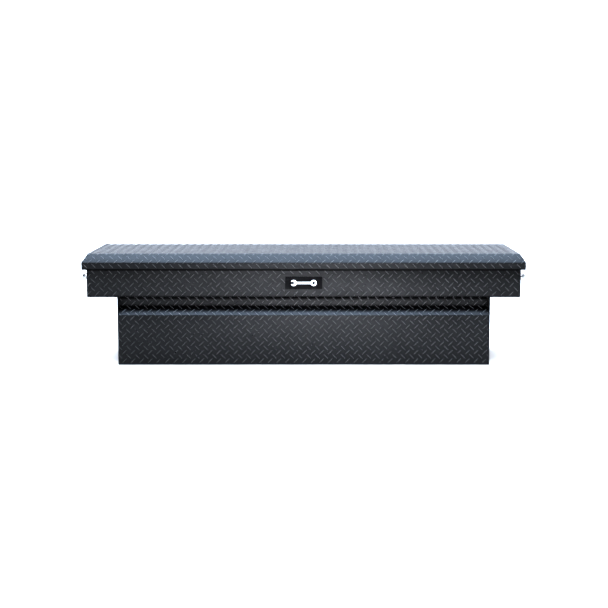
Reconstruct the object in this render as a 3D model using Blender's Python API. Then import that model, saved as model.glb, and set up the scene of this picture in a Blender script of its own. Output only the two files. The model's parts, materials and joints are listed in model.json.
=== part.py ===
"""Crossover truck tool box: a welded aluminium tub that sits on a pickup's bed rails, with a hinged
lid on two gas struts and a keyed paddle latch in each end wall.

Metres, +Z up. The origin is at the centre of the tub's underside. X runs across the truck, the front
wall faces -Y, and the lid hinges at the back, +Y.
"""

import math

import bmesh
import bpy
from mathutils import Matrix, Vector

# ---- driving dimensions -------------------------------------------------------------------------
GAP = 0.0003
SHEET = 0.0016
BEND = 0.0024
BEND_STEPS = 4

HEIGHT = 0.4572
LID_HALF_X = 0.9017
LID_HALF_Y = 0.2540
LID_CHAMFER_INSET = 0.0233
LID_CHAMFER_Z = 0.4223
LID_EDGE_Z = 0.3930
LID_CORNER = 0.003
HEM_HEIGHT = 0.010
LID_UNDERSIDE = HEIGHT - SHEET

BODY_HALF_X = 0.8836
BODY_HALF_Y = 0.2359
RAIL_Z = 0.2794
LOWER_HALF_X = 0.7606
RECESS_HALF_Y = 0.2035
RECESS_LOW_Z = 0.2386
LEDGE_Z = 0.2056
RIM_Z = 0.4400
RIM_WIDTH = 0.0216
RIM_LIP_Z = 0.4268

SEAL_WIDTH = 0.012
SEAL_INSET = 0.0136

HINGE_Z = 0.395
HINGE_HALF_LENGTH = 0.850
HINGE_SHEET = 0.0015
KNUCKLE_BORE = 0.0023
KNUCKLE_OUTER = KNUCKLE_BORE + HINGE_SHEET
KNUCKLES = 25
KNUCKLE_GAP = 0.0006
HINGE_Y = BODY_HALF_Y + GAP + KNUCKLE_OUTER
HINGE_PIN_R = 0.0020

BADGE_WIDTH = 0.151
BADGE_HEIGHT = 0.051
BADGE_THICK = 0.0012
BADGE_Z = 0.338

STRUT_X = 0.745
STRUT_LOW = (0.140, 0.180)
STRUT_HIGH = (0.130, 0.400)
SOCKET_R = 0.008
SOCKET_REACH = 0.018
BALL_R = 0.005
TUBE_R = 0.009
TUBE_LENGTH = 0.160
ROD_R = 0.004
ROD_START = 0.040

HANDLE_Y = -0.148
DISH_Z = 0.345
DISH_WIDTH = 0.110
DISH_HEIGHT = 0.080
PAN_WIDTH = 0.097
PAN_HEIGHT = 0.067
PAN_DEPTH = 0.012
PAN_SHEET = 0.0015
PAN_CORNER = 0.010
GASKET_THICK = 0.001
PADDLE_WIDTH = 0.075
PADDLE_SHEET = 0.0022
PADDLE_FACE = 0.0255
PIVOT_OUT = 0.001
PIVOT_Z = 0.3655
PADDLE_TOP = 0.373
PADDLE_LOW = 0.343
TAB_REACH = 0.024
TAB_LOW = PIVOT_Z - 0.002
PUSH_GAP = 0.0006
PADDLE_PIN_R = 0.0025
LOCK_Z = 0.3575
LOCK_R = 0.0065
PLUG_R = 0.0040

LINK_Y = -0.119
LINK_WIDTH = 0.008
LATCH_X = 0.842
LATCH_THICK = 0.006
LATCH_WEB_X = 0.8385
LATCH_BEND = 0.0031
LATCH_SHEET = 0.0025
STRIKER_Z = 0.388
STRIKER_R = 0.0035
ROTOR_Y = HANDLE_Y - 0.019
ROTOR_Z = STRIKER_Z - 0.011
ROTOR_HUB_R = 0.0175
JAW_INNER_R = 0.0265
JAW_OUTER_R = 0.0330
ROTOR_TRAVEL = 62
PAWL_Y = ROTOR_Y + 0.020
PAWL_Z = ROTOR_Z - 0.034
LATCH_PIN_R = 0.004


# ---- scene, materials and shared shape tools ----------------------------------------------------
def clear_scene():
    for item in list(bpy.data.objects):
        bpy.data.objects.remove(item, do_unlink=True)


def make_material(name, colour, metallic, roughness):
    material = bpy.data.materials.new(name)
    material.use_nodes = True
    shader = material.node_tree.nodes["Principled BSDF"]
    shader.inputs["Base Color"].default_value = (*colour, 1.0)
    shader.inputs["Metallic"].default_value = metallic
    shader.inputs["Roughness"].default_value = roughness
    material.diffuse_color = (*colour, 1.0)
    return material


def make_materials():
    return {
        "black": make_material("powder_black", (0.035, 0.036, 0.040), 0.35, 0.45),
        "polished": make_material("polished_stainless", (0.78, 0.78, 0.76), 1.0, 0.18),
        "zinc": make_material("zinc_steel", (0.55, 0.55, 0.53), 1.0, 0.35),
        "rubber": make_material("black_rubber", (0.015, 0.015, 0.016), 0.0, 0.8),
        "badge": make_material("badge_black", (0.012, 0.012, 0.013), 0.0, 0.3),
        "strut_black": make_material("strut_black", (0.02, 0.02, 0.022), 0.2, 0.3),
        "chrome": make_material("rod_chrome", (0.8, 0.8, 0.82), 1.0, 0.08),
        "nylon": make_material("nylon_black", (0.025, 0.025, 0.027), 0.0, 0.5),
        "brass": make_material("lock_brass", (0.72, 0.55, 0.25), 1.0, 0.3),
    }


def add_object(name, bm, material, origin=(0.0, 0.0, 0.0)):
    """Closes the bmesh into an object whose origin is at the given world point."""
    bmesh.ops.remove_doubles(bm, verts=bm.verts, dist=1e-7)
    bmesh.ops.recalc_face_normals(bm, faces=bm.faces)
    mesh = bpy.data.meshes.new(name)
    bm.to_mesh(mesh)
    bm.free()
    mesh.materials.append(material)
    mesh.transform(Matrix.Translation(-Vector(origin)))
    item = bpy.data.objects.new(name, mesh)
    item.location = origin
    bpy.context.scene.collection.objects.link(item)
    return item


def combine(target, tool, operation):
    """Applies one exact Boolean to target and deletes the tool."""
    step = target.modifiers.new(operation.lower(), "BOOLEAN")
    step.operation = operation
    step.solver = "EXACT"
    step.object = tool
    bpy.context.view_layer.update()
    evaluated = target.evaluated_get(bpy.context.evaluated_depsgraph_get())
    result = bpy.data.meshes.new_from_object(evaluated)
    target.modifiers.clear()
    old = target.data
    target.data = result
    result.name = target.name
    bpy.data.meshes.remove(old)
    bpy.data.objects.remove(tool, do_unlink=True)
    return target


def smooth(item, degrees=35):
    item.data.shade_smooth()
    item.data.set_sharp_from_angle(angle=math.radians(degrees))
    return item


def arc(centre, radius, start, end, steps):
    """Points on an arc, angles in degrees, both ends included."""
    points = []
    for i in range(steps + 1):
        angle = math.radians(start + (end - start) * i / steps)
        points.append((centre[0] + radius * math.cos(angle), centre[1] + radius * math.sin(angle)))
    return points


def bend_corners(corners, radius=BEND, steps=BEND_STEPS):
    """An open outline whose inner corners are rounded to a bend radius."""
    points = [corners[0]]
    for before, corner, after in zip(corners, corners[1:], corners[2:]):
        here = Vector(corner)
        back = (Vector(before) - here).normalized()
        ahead = (Vector(after) - here).normalized()
        half = back.angle(ahead) / 2
        if half > math.radians(89):
            points.append(corner)
            continue
        reach = radius / math.tan(half)
        centre = here + (back + ahead).normalized() * (radius / math.sin(half))
        first = here + back * reach - centre
        last = here + ahead * reach - centre
        sweep = math.pi - 2 * half
        turn = sweep if first.x * last.y - first.y * last.x > 0 else -sweep
        for i in range(steps + 1):
            angle = turn * i / steps
            spoke = Matrix.Rotation(angle, 2) @ first
            points.append(tuple(centre + spoke))
    points.append(corners[-1])
    return points


def offset_right(points, distance):
    """The outline moved to its right-hand side by distance, with mitred corners."""
    moved = []
    last = len(points) - 1
    for i, point in enumerate(points):
        normals = []
        for a, b in ((i - 1, i), (i, i + 1)):
            if a >= 0 and b <= last:
                run = (Vector(points[b]) - Vector(points[a])).normalized()
                normals.append(Vector((run.y, -run.x)))
        mitre = sum(normals, Vector((0.0, 0.0))).normalized()
        moved.append(tuple(Vector(point) + mitre * (distance / mitre.dot(normals[0]))))
    return moved


def bent_sheet(name, path, thickness, stations, keep, place, material, origin=(0.0, 0.0, 0.0)):
    """A folded sheet: path is one face's outline, its thickness lies to the right, and it runs through
    the stations. keep(a, b, s) says whether the sheet is there at a segment's middle and a station's."""
    near = path
    far = offset_right(path, thickness)
    bm = bmesh.new()
    grid = {}
    for i in range(len(path)):
        for j, station in enumerate(stations):
            for layer, line in ((0, near), (1, far)):
                grid[i, j, layer] = bm.verts.new(place(line[i][0], line[i][1], station))
    cells = set()
    for i in range(len(path) - 1):
        for j in range(len(stations) - 1):
            a = (path[i][0] + path[i + 1][0]) / 2
            b = (path[i][1] + path[i + 1][1]) / 2
            if keep(a, b, (stations[j] + stations[j + 1]) / 2):
                cells.add((i, j))
    for i, j in cells:
        for layer in (0, 1):
            bm.faces.new([grid[i, j, layer], grid[i + 1, j, layer],
                          grid[i + 1, j + 1, layer], grid[i, j + 1, layer]])
        sides = (((i - 1, j), (i, j), (i, j + 1)), ((i + 1, j), (i + 1, j), (i + 1, j + 1)),
                 ((i, j - 1), (i, j), (i + 1, j)), ((i, j + 1), (i, j + 1), (i + 1, j + 1)))
        for neighbour, one, two in sides:
            if neighbour not in cells:
                bm.faces.new([grid[(*one, 0)], grid[(*two, 0)], grid[(*two, 1)], grid[(*one, 1)]])
    loose = [v for v in bm.verts if not v.link_faces]
    bmesh.ops.delete(bm, geom=loose, context="VERTS")
    return add_object(name, bm, material, origin)


def everywhere(a, b, station):
    return True


def prism(name, outline, low, high, place, material, origin=(0.0, 0.0, 0.0)):
    """A flat outline extruded from low to high; place(a, b, c) gives the world point."""
    bm = bmesh.new()
    bottom = [bm.verts.new(place(a, b, low)) for a, b in outline]
    top = [bm.verts.new(place(a, b, high)) for a, b in outline]
    bm.faces.new(bottom)
    bm.faces.new(top)
    for i in range(len(outline)):
        j = (i + 1) % len(outline)
        bm.faces.new([bottom[i], bottom[j], top[j], top[i]])
    return add_object(name, bm, material, origin)


def rounded_rectangle(centre, width, height, radius, steps=4):
    outline = []
    corners = ((1, 1, 0), (-1, 1, 90), (-1, -1, 180), (1, -1, 270))
    for sx, sy, start in corners:
        middle = (centre[0] + sx * (width / 2 - radius), centre[1] + sy * (height / 2 - radius))
        outline += arc(middle, radius, start, start + 90, steps)
    return outline


def loop_rings(bm, loops, closed):
    """Joins consecutive vertex loops with quads; closed also joins the last to the first."""
    pairs = list(zip(loops, loops[1:]))
    if closed:
        pairs.append((loops[-1], loops[0]))
    for one, two in pairs:
        for i in range(len(one)):
            j = (i + 1) % len(one)
            bm.faces.new([one[i], one[j], two[j], two[i]])


def turned(name, profile, base, axis, sides, material, ring=False, origin=None):
    """A turned piece: profile holds (radius, distance along axis). A ring has a bore right through."""
    axis = Vector(axis).normalized()
    across = axis.orthogonal().normalized()
    beside = axis.cross(across)
    bm = bmesh.new()
    loops = []
    for radius, along in profile:
        loop = []
        for i in range(sides):
            angle = 2 * math.pi * i / sides
            spoke = across * math.cos(angle) + beside * math.sin(angle)
            loop.append(bm.verts.new(Vector(base) + axis * along + spoke * radius))
        loops.append(loop)
    loop_rings(bm, loops, ring)
    if not ring:
        bm.faces.new(loops[0])
        bm.faces.new(loops[-1])
    return add_object(name, bm, material, origin or base)


def swept_rod(name, route, radius, sides, material):
    """A round rod along a list of world points, with flat ends."""
    bm = bmesh.new()
    loops = []
    normal = (route[1] - route[0]).normalized().orthogonal().normalized()
    last = len(route) - 1
    for i, point in enumerate(route):
        forward = (route[min(i + 1, last)] - route[max(i - 1, 0)]).normalized()
        normal = (normal - forward * normal.dot(forward)).normalized()
        beside = forward.cross(normal)
        loop = []
        for k in range(sides):
            angle = 2 * math.pi * k / sides
            spoke = normal * math.cos(angle) + beside * math.sin(angle)
            loop.append(bm.verts.new(point + spoke * radius))
        loops.append(loop)
    loop_rings(bm, loops, False)
    bm.faces.new(loops[0])
    bm.faces.new(loops[-1])
    return add_object(name, bm, material)


def block(name, low, high, material):
    outline = [(low[0], low[1]), (high[0], low[1]), (high[0], high[1]), (low[0], high[1])]
    return prism(name, outline, low[2], high[2], lambda a, b, c: (a, b, c), material)


# ---- tub ----------------------------------------------------------------------------------------
def body_front_outline():
    """The front wall's outer face as (distance from the middle, z), from the rim's lip downwards."""
    return bend_corners([
        (BODY_HALF_Y - RIM_WIDTH, RIM_LIP_Z),
        (BODY_HALF_Y - RIM_WIDTH, RIM_Z),
        (BODY_HALF_Y, RIM_Z),
        (BODY_HALF_Y, RAIL_Z + BEND + GAP),
        (BODY_HALF_Y, RAIL_Z),
        (RECESS_HALF_Y, RAIL_Z),
        (RECESS_HALF_Y, RECESS_LOW_Z),
        (BODY_HALF_Y, LEDGE_Z),
        (BODY_HALF_Y, 0.0),
    ])


def long_wall(name, facing, mats):
    """Front or back wall: rim, upper wall, rail recess and lower wall folded from one sheet. Over the
    bed rails only the upper wall goes on to the ends."""
    rim_end = BODY_HALF_X - RIM_WIDTH - GAP
    lower_end = LOWER_HALF_X - SHEET - GAP
    stations = [-BODY_HALF_X, -rim_end, -lower_end, lower_end, rim_end, BODY_HALF_X]

    def keep(d, z, x):
        if abs(x) < lower_end:
            return True
        if d < BODY_HALF_Y - BEND / 2 and z > RIM_LIP_Z or z > RIM_Z - BEND:
            return abs(x) < rim_end
        return z > RAIL_Z + BEND + GAP

    return bent_sheet(name, body_front_outline(), SHEET, stations, keep,
                      lambda d, z, x: (x, facing * d, z), mats["black"])


def end_panel(name, side, mats):
    """End wall, the shelf that lies on the bed rail, and the lower end wall, with the handle opening."""
    path = bend_corners([
        (BODY_HALF_X - RIM_WIDTH, RIM_LIP_Z),
        (BODY_HALF_X - RIM_WIDTH, RIM_Z),
        (BODY_HALF_X, RIM_Z),
        (BODY_HALF_X, RAIL_Z + BEND + GAP),
        (BODY_HALF_X, RAIL_Z),
        (LOWER_HALF_X, RAIL_Z),
        (LOWER_HALF_X, 0.0),
    ])
    inner = BODY_HALF_Y - SHEET - GAP
    stations = [-BODY_HALF_Y, -inner, inner, BODY_HALF_Y]

    def keep(x, z, y):
        return abs(y) < inner or z < RAIL_Z + BEND

    panel = bent_sheet(name, path, SHEET, stations, keep,
                       lambda x, z, y: (side * x, y, z), mats["black"])
    opening = rounded_rectangle((HANDLE_Y, DISH_Z), PAN_WIDTH + 0.002, PAN_HEIGHT + 0.002, PAN_CORNER)
    cutter = prism("cutter", opening, BODY_HALF_X - 0.01, BODY_HALF_X + 0.01,
                   lambda y, z, x: (side * x, y, z), mats["black"])
    return combine(panel, cutter, "DIFFERENCE")


def bottom_panel(mats):
    half_x = LOWER_HALF_X - SHEET - GAP
    half_y = BODY_HALF_Y - SHEET - GAP
    return block("bottom_panel", (-half_x, -half_y, 0.0), (half_x, half_y, SHEET), mats["black"])


def rectangle_loop(bm, half_x, half_y, radius, z, steps):
    outline = rounded_rectangle((0.0, 0.0), 2 * half_x, 2 * half_y, radius, steps)
    return [bm.verts.new((x, y, z)) for x, y in outline]


def lid_seal(mats):
    """D-section rubber seal that runs round on top of the rim."""
    corner = 0.018
    foot = RIM_Z + GAP
    top = LID_UNDERSIDE - GAP
    half = SEAL_WIDTH / 2
    section = [(half, foot), (-half, foot)]
    section += arc((0.0, top - half), half, 180, 0, 6)
    bm = bmesh.new()
    loops = []
    for across, z in section:
        loops.append(rectangle_loop(bm, BODY_HALF_X - SEAL_INSET + across,
                                    BODY_HALF_Y - SEAL_INSET + across, corner + across, z, 4))
    loop_rings(bm, loops, True)
    return smooth(add_object("lid_seal", bm, mats["rubber"]))


def badge_plate(mats):
    face = -BODY_HALF_Y - GAP
    outline = rounded_rectangle((0.0, BADGE_Z), BADGE_WIDTH, BADGE_HEIGHT, 0.003)
    return prism("badge_plate", outline, face - BADGE_THICK, face,
                 lambda x, z, y: (x, y, z), mats["badge"])


# ---- lid ----------------------------------------------------------------------------------------
def lid_shell(mats):
    """One sheet with chamfers and skirts on all four sides, closed at the bottom with a folded hem."""
    outside = bend_corners([(0.0, LID_EDGE_Z), (0.0, LID_CHAMFER_Z), (LID_CHAMFER_INSET, HEIGHT),
                            (2 * LID_CHAMFER_INSET, HEIGHT)], radius=0.004)[:-1]
    inside = offset_right(outside, SHEET)[1:]
    hem_top = LID_EDGE_Z + HEM_HEIGHT
    hem = [(2 * SHEET, LID_EDGE_Z), (2 * SHEET, hem_top), (SHEET, hem_top + SHEET)]
    bm = bmesh.new()
    loops = []
    for inset, z in list(reversed(outside)) + hem + inside:
        loops.append(rectangle_loop(bm, LID_HALF_X - inset, LID_HALF_Y - inset, LID_CORNER, z, 3))
    loop_rings(bm, loops, False)
    bm.faces.new(loops[0])
    bm.faces.new(loops[-1])
    return add_object("lid_shell", bm, mats["black"], (0.0, HINGE_Y, HINGE_Z))


def lid_stiffener(mats):
    """Hat-section channel under the lid's top."""
    top = LID_UNDERSIDE - GAP
    foot, crown, depth, half_length = 0.062, 0.032, 0.020, 0.800
    shoulder = crown + 0.008
    path = bend_corners([(-foot, top), (-shoulder, top), (-crown, top - depth),
                         (crown, top - depth), (shoulder, top), (foot, top)])
    return bent_sheet("lid_stiffener", path, SHEET, [-half_length, half_length], everywhere,
                      lambda y, z, x: (x, y, z), mats["black"], (0.0, HINGE_Y, HINGE_Z))


# ---- continuous hinge ---------------------------------------------------------------------------
def knuckle_stations():
    pitch = 2 * HINGE_HALF_LENGTH / KNUCKLES
    stations = [-HINGE_HALF_LENGTH]
    for k in range(1, KNUCKLES):
        joint = -HINGE_HALF_LENGTH + k * pitch
        stations += [joint - KNUCKLE_GAP / 2, joint + KNUCKLE_GAP / 2]
    return stations + [HINGE_HALF_LENGTH]


def knuckle_number(x):
    """Which knuckle the position lies in, or -1 in the gap between two."""
    pitch = 2 * HINGE_HALF_LENGTH / KNUCKLES
    place = (x + HINGE_HALF_LENGTH) / pitch
    near_joint = abs(place - round(place)) * pitch < KNUCKLE_GAP
    return -1 if near_joint and 0 < round(place) < KNUCKLES else int(place)


def hinge_leaf(name, flat, start_angle, own, material, origin):
    """A leaf: its flat part, cut back where the other leaf's knuckles are, and its curled knuckles."""
    curl = arc((HINGE_Y, HINGE_Z), KNUCKLE_OUTER, start_angle, start_angle - 290, 12)
    clear = 0.0045
    side = 1 if flat[-1][1] > HINGE_Z else -1
    path = flat + [(curl[0][0], HINGE_Z + side * clear)] + curl

    def keep(y, z, x):
        flat_part = abs(z - HINGE_Z) > clear and abs(y - HINGE_Y) > KNUCKLE_BORE
        return flat_part or (knuckle_number(x) >= 0 and knuckle_number(x) % 2 == own)

    return bent_sheet(name, path, HINGE_SHEET, knuckle_stations(), keep,
                      lambda y, z, x: (x, y, z), material, origin)


def hinge(mats):
    tub_face = HINGE_Y - KNUCKLE_OUTER
    hinge_leaf("hinge_leaf_tub", [(tub_face, HINGE_Z - 0.033)], 180, 0, mats["zinc"], (0.0, 0.0, 0.0))
    lid_face = LID_HALF_Y - SHEET - GAP
    knuckle_face = HINGE_Y + KNUCKLE_OUTER
    flat = [(lid_face, HINGE_Z + 0.025), (lid_face, HINGE_Z + 0.0145),
            (knuckle_face, HINGE_Z + 0.0065)]
    hinge_leaf("hinge_leaf_lid", flat, 0, 1, mats["zinc"], (0.0, HINGE_Y, HINGE_Z))
    half = HINGE_HALF_LENGTH + 0.001
    turned("hinge_pin", [(HINGE_PIN_R, -half), (HINGE_PIN_R, half)], (0.0, HINGE_Y, HINGE_Z),
           (1, 0, 0), 12, mats["zinc"])


# ---- gas struts ---------------------------------------------------------------------------------
def strut_direction():
    run = Vector((0.0, STRUT_HIGH[0] - STRUT_LOW[0], STRUT_HIGH[1] - STRUT_LOW[1]))
    return run.normalized(), run.length


def strut_bracket_tub(name, side, mats):
    """Plate on the lower end wall with the ball stud that the strut's lower socket turns on."""
    wall = LOWER_HALF_X - SHEET - GAP
    plate_face = wall - 0.0025
    outline = rounded_rectangle(STRUT_LOW, 0.040, 0.046, 0.006, 3)
    bracket = prism(name, outline, plate_face, wall, lambda y, z, x: (side * x, y, z), mats["zinc"])
    neck = 0.0035
    meet = math.degrees(math.asin(neck / BALL_R))
    reach = plate_face - STRUT_X
    profile = [(neck, -0.001)]
    for step in range(6):
        angle = math.radians(meet + (172 - meet) * step / 5)
        profile.append((BALL_R * math.sin(angle), reach - BALL_R * math.cos(angle)))
    stud = turned("stud", profile, (side * plate_face, *STRUT_LOW), (-side, 0, 0), 14, mats["zinc"])
    return combine(bracket, stud, "UNION")


def strut_bracket_lid(name, side, mats):
    """Angle under the lid with the stud that the strut's upper socket sits against."""
    y, z = STRUT_HIGH
    top = LID_UNDERSIDE - GAP
    low_x, high_x = STRUT_X + 0.017, STRUT_X + 0.0195
    corners = [(low_x, z - 0.012), (low_x, top), (low_x - 0.024, top)]
    path = bend_corners(list(reversed(corners)))
    bracket = bent_sheet(name, path, high_x - low_x, [y - 0.018, y + 0.018], everywhere,
                         lambda x, b, c: (side * x, c, b), mats["zinc"], (0.0, HINGE_Y, HINGE_Z))
    stud_end = STRUT_X + 0.006 + GAP
    stud = turned("stud", [(0.004, 0.0), (0.004, low_x - stud_end + 0.001)],
                  (side * stud_end, y, z), (side, 0, 0), 14, mats["zinc"])
    return combine(bracket, stud, "UNION")


def strut_socket(name, side, centre, towards, hollow, mats):
    """Nylon socket with a neck along the strut; a hollow one holds the tub bracket's ball."""
    face = 0.0055 if hollow else 0.006
    back = -0.008 if hollow else -0.006
    at = Vector((side * STRUT_X, *centre))
    socket = turned(name, [(SOCKET_R, back), (SOCKET_R, face)], at, (side, 0, 0), 20, mats["nylon"])
    neck = turned("neck", [(0.0055, 0.003), (0.0055, SOCKET_REACH)], at, towards, 14, mats["nylon"])
    combine(socket, neck, "UNION")
    if hollow:
        bore = turned("bore", [(BALL_R + GAP, -BALL_R - GAP), (BALL_R + GAP, 0.02)], at,
                      (side, 0, 0), 20, mats["nylon"])
        combine(socket, bore, "DIFFERENCE")
    return smooth(socket)


def strut(label, side, mats):
    towards, length = strut_direction()
    base = Vector((side * STRUT_X, *STRUT_LOW))
    strut_socket(f"{label}_strut_lower_socket", side, STRUT_LOW, towards, True, mats)
    strut_socket(f"{label}_strut_upper_socket", side, STRUT_HIGH, -towards, False, mats)
    start = SOCKET_REACH + GAP
    end = start + TUBE_LENGTH
    bore = ROD_R + GAP
    profile = [(0.006, start), (TUBE_R, start + 0.003), (TUBE_R, end - 0.002), (0.0078, end),
               (bore, end), (bore, ROD_START - 0.006)]
    smooth(turned(f"{label}_strut_cylinder", profile, base, towards, 20, mats["strut_black"]), 25)
    rod = [(ROD_R, ROD_START), (ROD_R, length - SOCKET_REACH - GAP)]
    smooth(turned(f"{label}_strut_rod", rod, base, towards, 16, mats["chrome"]))


# ---- paddle handles -----------------------------------------------------------------------------
def handle_dish(name, side, mats):
    """Stainless pan let into the end wall, with its flange outside and a slot for the paddle's tab."""
    foot = GAP + GASKET_THICK + GAP
    centre = (HANDLE_Y, DISH_Z)

    def place(y, z, out):
        return (side * (BODY_HALF_X + out), y, z)

    dish = prism(name, rounded_rectangle(centre, DISH_WIDTH, DISH_HEIGHT, 0.014), foot,
                 foot + PAN_SHEET, place, mats["polished"])
    pan = prism("pan", rounded_rectangle(centre, PAN_WIDTH, PAN_HEIGHT, PAN_CORNER), -PAN_DEPTH,
                foot + PAN_SHEET / 2, place, mats["polished"])
    combine(dish, pan, "UNION")
    hollow = prism("hollow", rounded_rectangle(centre, PAN_WIDTH - 2 * PAN_SHEET,
                                               PAN_HEIGHT - 2 * PAN_SHEET, PAN_CORNER - PAN_SHEET),
                   PAN_SHEET - PAN_DEPTH, 0.01, place, mats["polished"])
    combine(dish, hollow, "DIFFERENCE")
    slot = prism("slot", rounded_rectangle((LINK_Y, 0.364), 0.012, 0.019, 0.002), -0.02,
                 0.005 - PAN_DEPTH, place, mats["polished"])
    return smooth(combine(dish, slot, "DIFFERENCE"))


def handle_gasket(name, side, mats):
    centre = (HANDLE_Y, DISH_Z)

    def place(y, z, out):
        return (side * (BODY_HALF_X + out), y, z)

    gasket = prism(name, rounded_rectangle(centre, DISH_WIDTH - 0.001, DISH_HEIGHT - 0.001, 0.0135),
                   GAP, GAP + GASKET_THICK, place, mats["rubber"])
    hole = prism("hole", rounded_rectangle(centre, PAN_WIDTH + 0.001, PAN_HEIGHT + 0.001, PAN_CORNER),
                 -0.01, 0.01, place, mats["rubber"])
    return combine(gasket, hole, "DIFFERENCE")


def paddle_outline():
    face = PADDLE_FACE
    return [(-0.005, PADDLE_TOP), (0.0035, PADDLE_TOP), (face - 0.0035, 0.3685),
            (face - 0.001, 0.3672), (face, 0.365), (face, 0.350), (face - 0.0009, 0.3466),
            (face - 0.0032, 0.3440), (face - 0.0065, PADDLE_LOW), (0.012, PADDLE_LOW),
            (-0.0045, 0.361), (-0.0055, 0.364)]


def paddle_hollow():
    face = PADDLE_FACE - PADDLE_SHEET
    top = PADDLE_TOP - PADDLE_SHEET
    low = PADDLE_LOW + PADDLE_SHEET
    return [(-0.012, top), (0.0033, top), (face - 0.0027, 0.3665), (face - 0.0006, 0.3655),
            (face, 0.364), (face, 0.351), (face - 0.0007, 0.3480), (face - 0.0025, 0.3462),
            (face - 0.0048, low), (-0.012, low)]


def paddle(label, side, mats):
    """Pull paddle: a pressed box open at the back, pivoted at its top, with a tab that goes inside."""
    pivot = (side * (BODY_HALF_X + PIVOT_OUT), HANDLE_Y, PIVOT_Z)
    half = PADDLE_WIDTH / 2

    def place(out, z, y):
        return (side * (BODY_HALF_X + out), y, z)

    item = prism(f"{label}_paddle", paddle_outline(), HANDLE_Y - half, HANDLE_Y + half, place,
                 mats["polished"], pivot)
    hollow = prism("hollow", paddle_hollow(), HANDLE_Y - half + PADDLE_SHEET,
                   HANDLE_Y + half - PADDLE_SHEET, place, mats["polished"])
    combine(item, hollow, "DIFFERENCE")
    low, high = LINK_Y - LINK_WIDTH / 2, LINK_Y + LINK_WIDTH / 2
    tab_outline = [(-TAB_REACH, TAB_LOW), (PIVOT_OUT, TAB_LOW), (PIVOT_OUT, PADDLE_TOP - 0.0015),
                   (-0.003, PADDLE_TOP - 0.0015), (-TAB_REACH, TAB_LOW + 0.006)]
    tab = prism("tab", tab_outline, low, high, place, mats["polished"])
    combine(item, tab, "UNION")
    boss = turned("boss", [(0.0051, low), (0.0051, high)],
                  (pivot[0], 0.0, PIVOT_Z), (0, 1, 0), 16, mats["polished"])
    combine(item, boss, "UNION")
    bore = turned("bore", [(PADDLE_PIN_R + GAP, -0.06), (PADDLE_PIN_R + GAP, 0.06)], pivot,
                  (0, 1, 0), 16, mats["polished"])
    combine(item, bore, "DIFFERENCE")
    lock_hole = turned("lock_hole", [(LOCK_R + GAP, 0.018), (LOCK_R + GAP, 0.03)],
                       (side * BODY_HALF_X, HANDLE_Y, LOCK_Z), (side, 0, 0), 24, mats["polished"])
    return smooth(combine(item, lock_hole, "DIFFERENCE"), 30)


def paddle_pin(label, side, mats):
    half = PAN_WIDTH / 2 - PAN_SHEET - 3 * GAP
    return smooth(turned(f"{label}_paddle_pin", [(PADDLE_PIN_R, -half), (PADDLE_PIN_R, half)],
                         (side * (BODY_HALF_X + PIVOT_OUT), HANDLE_Y, PIVOT_Z), (0, 1, 0), 14,
                         mats["zinc"]))


def paddle_spring(label, side, mats):
    """Return spring: a coil round the paddle's pin beside the lock."""
    turns, steps, coil_r, wire_r, pitch = 6, 10, 0.0039, 0.0006, 0.0018
    start = HANDLE_Y - 0.030
    route = []
    for i in range(turns * steps + 1):
        angle = 2 * math.pi * i / steps
        route.append(Vector((side * (BODY_HALF_X + PIVOT_OUT + coil_r * math.cos(angle)),
                             start + pitch * i / steps, PIVOT_Z + coil_r * math.sin(angle))))
    return smooth(swept_rod(f"{label}_paddle_spring", route, wire_r, 5, mats["zinc"]), 60)


def lock(label, side, mats):
    base = (side * BODY_HALF_X, HANDLE_Y, LOCK_Z)
    face = PADDLE_FACE + GAP
    bore = PLUG_R + GAP
    profile = [(bore, 0.014), (LOCK_R, 0.014), (LOCK_R, face), (LOCK_R + 0.0012, face),
               (LOCK_R + 0.0012, face + 0.001), (LOCK_R + 0.0006, face + 0.0015),
               (bore, face + 0.0015)]
    smooth(turned(f"{label}_lock_barrel", profile, base, (side, 0, 0), 24, mats["polished"], True))
    front = face + 0.0018
    plug = turned(f"{label}_lock_plug", [(PLUG_R, 0.015), (PLUG_R, front)], base, (side, 0, 0), 20,
                  mats["brass"])
    keyway = prism("keyway", rounded_rectangle((HANDLE_Y, LOCK_Z), 0.0012, 0.0050, 0.0003, 1),
                   front - 0.004, front + 0.002,
                   lambda y, z, out: (side * (BODY_HALF_X + out), y, z), mats["brass"])
    return smooth(combine(plug, keyway, "DIFFERENCE"))


# ---- latches ------------------------------------------------------------------------------------
def latch_body(name, side, mats):
    """Channel bracket on the inside of the end wall, slotted for the striker."""
    wall = BODY_HALF_X - SHEET - GAP
    front, back = HANDLE_Y - 0.0645, HANDLE_Y + 0.0645
    low, high = 0.317, 0.424
    path = bend_corners([(wall, back), (LATCH_WEB_X, back), (LATCH_WEB_X, front), (wall, front)],
                        LATCH_BEND, 5)
    path = list(reversed(path))
    bracket = bent_sheet(name, path, LATCH_SHEET, [low, high], everywhere,
                         lambda x, y, z: (side * x, y, z), mats["zinc"])
    slot = rounded_rectangle((HANDLE_Y, high), 0.0144, 0.092, 0.006, 4)
    cutter = prism("slot", slot, LATCH_WEB_X - 0.003, LATCH_WEB_X + 0.006,
                   lambda y, z, x: (side * x, y, z), mats["zinc"])
    return combine(bracket, cutter, "DIFFERENCE")


def latch_pin(name, side, y, z, mats):
    start = LATCH_WEB_X + LATCH_SHEET + GAP
    under = LATCH_X + LATCH_THICK + GAP
    profile = [(LATCH_PIN_R, start), (LATCH_PIN_R, under), (0.007, under), (0.007, under + 0.002),
               (0.006, under + 0.0027)]
    return smooth(turned(name, profile, (0.0, y, z), (side, 0, 0), 16, mats["zinc"]))


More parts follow.
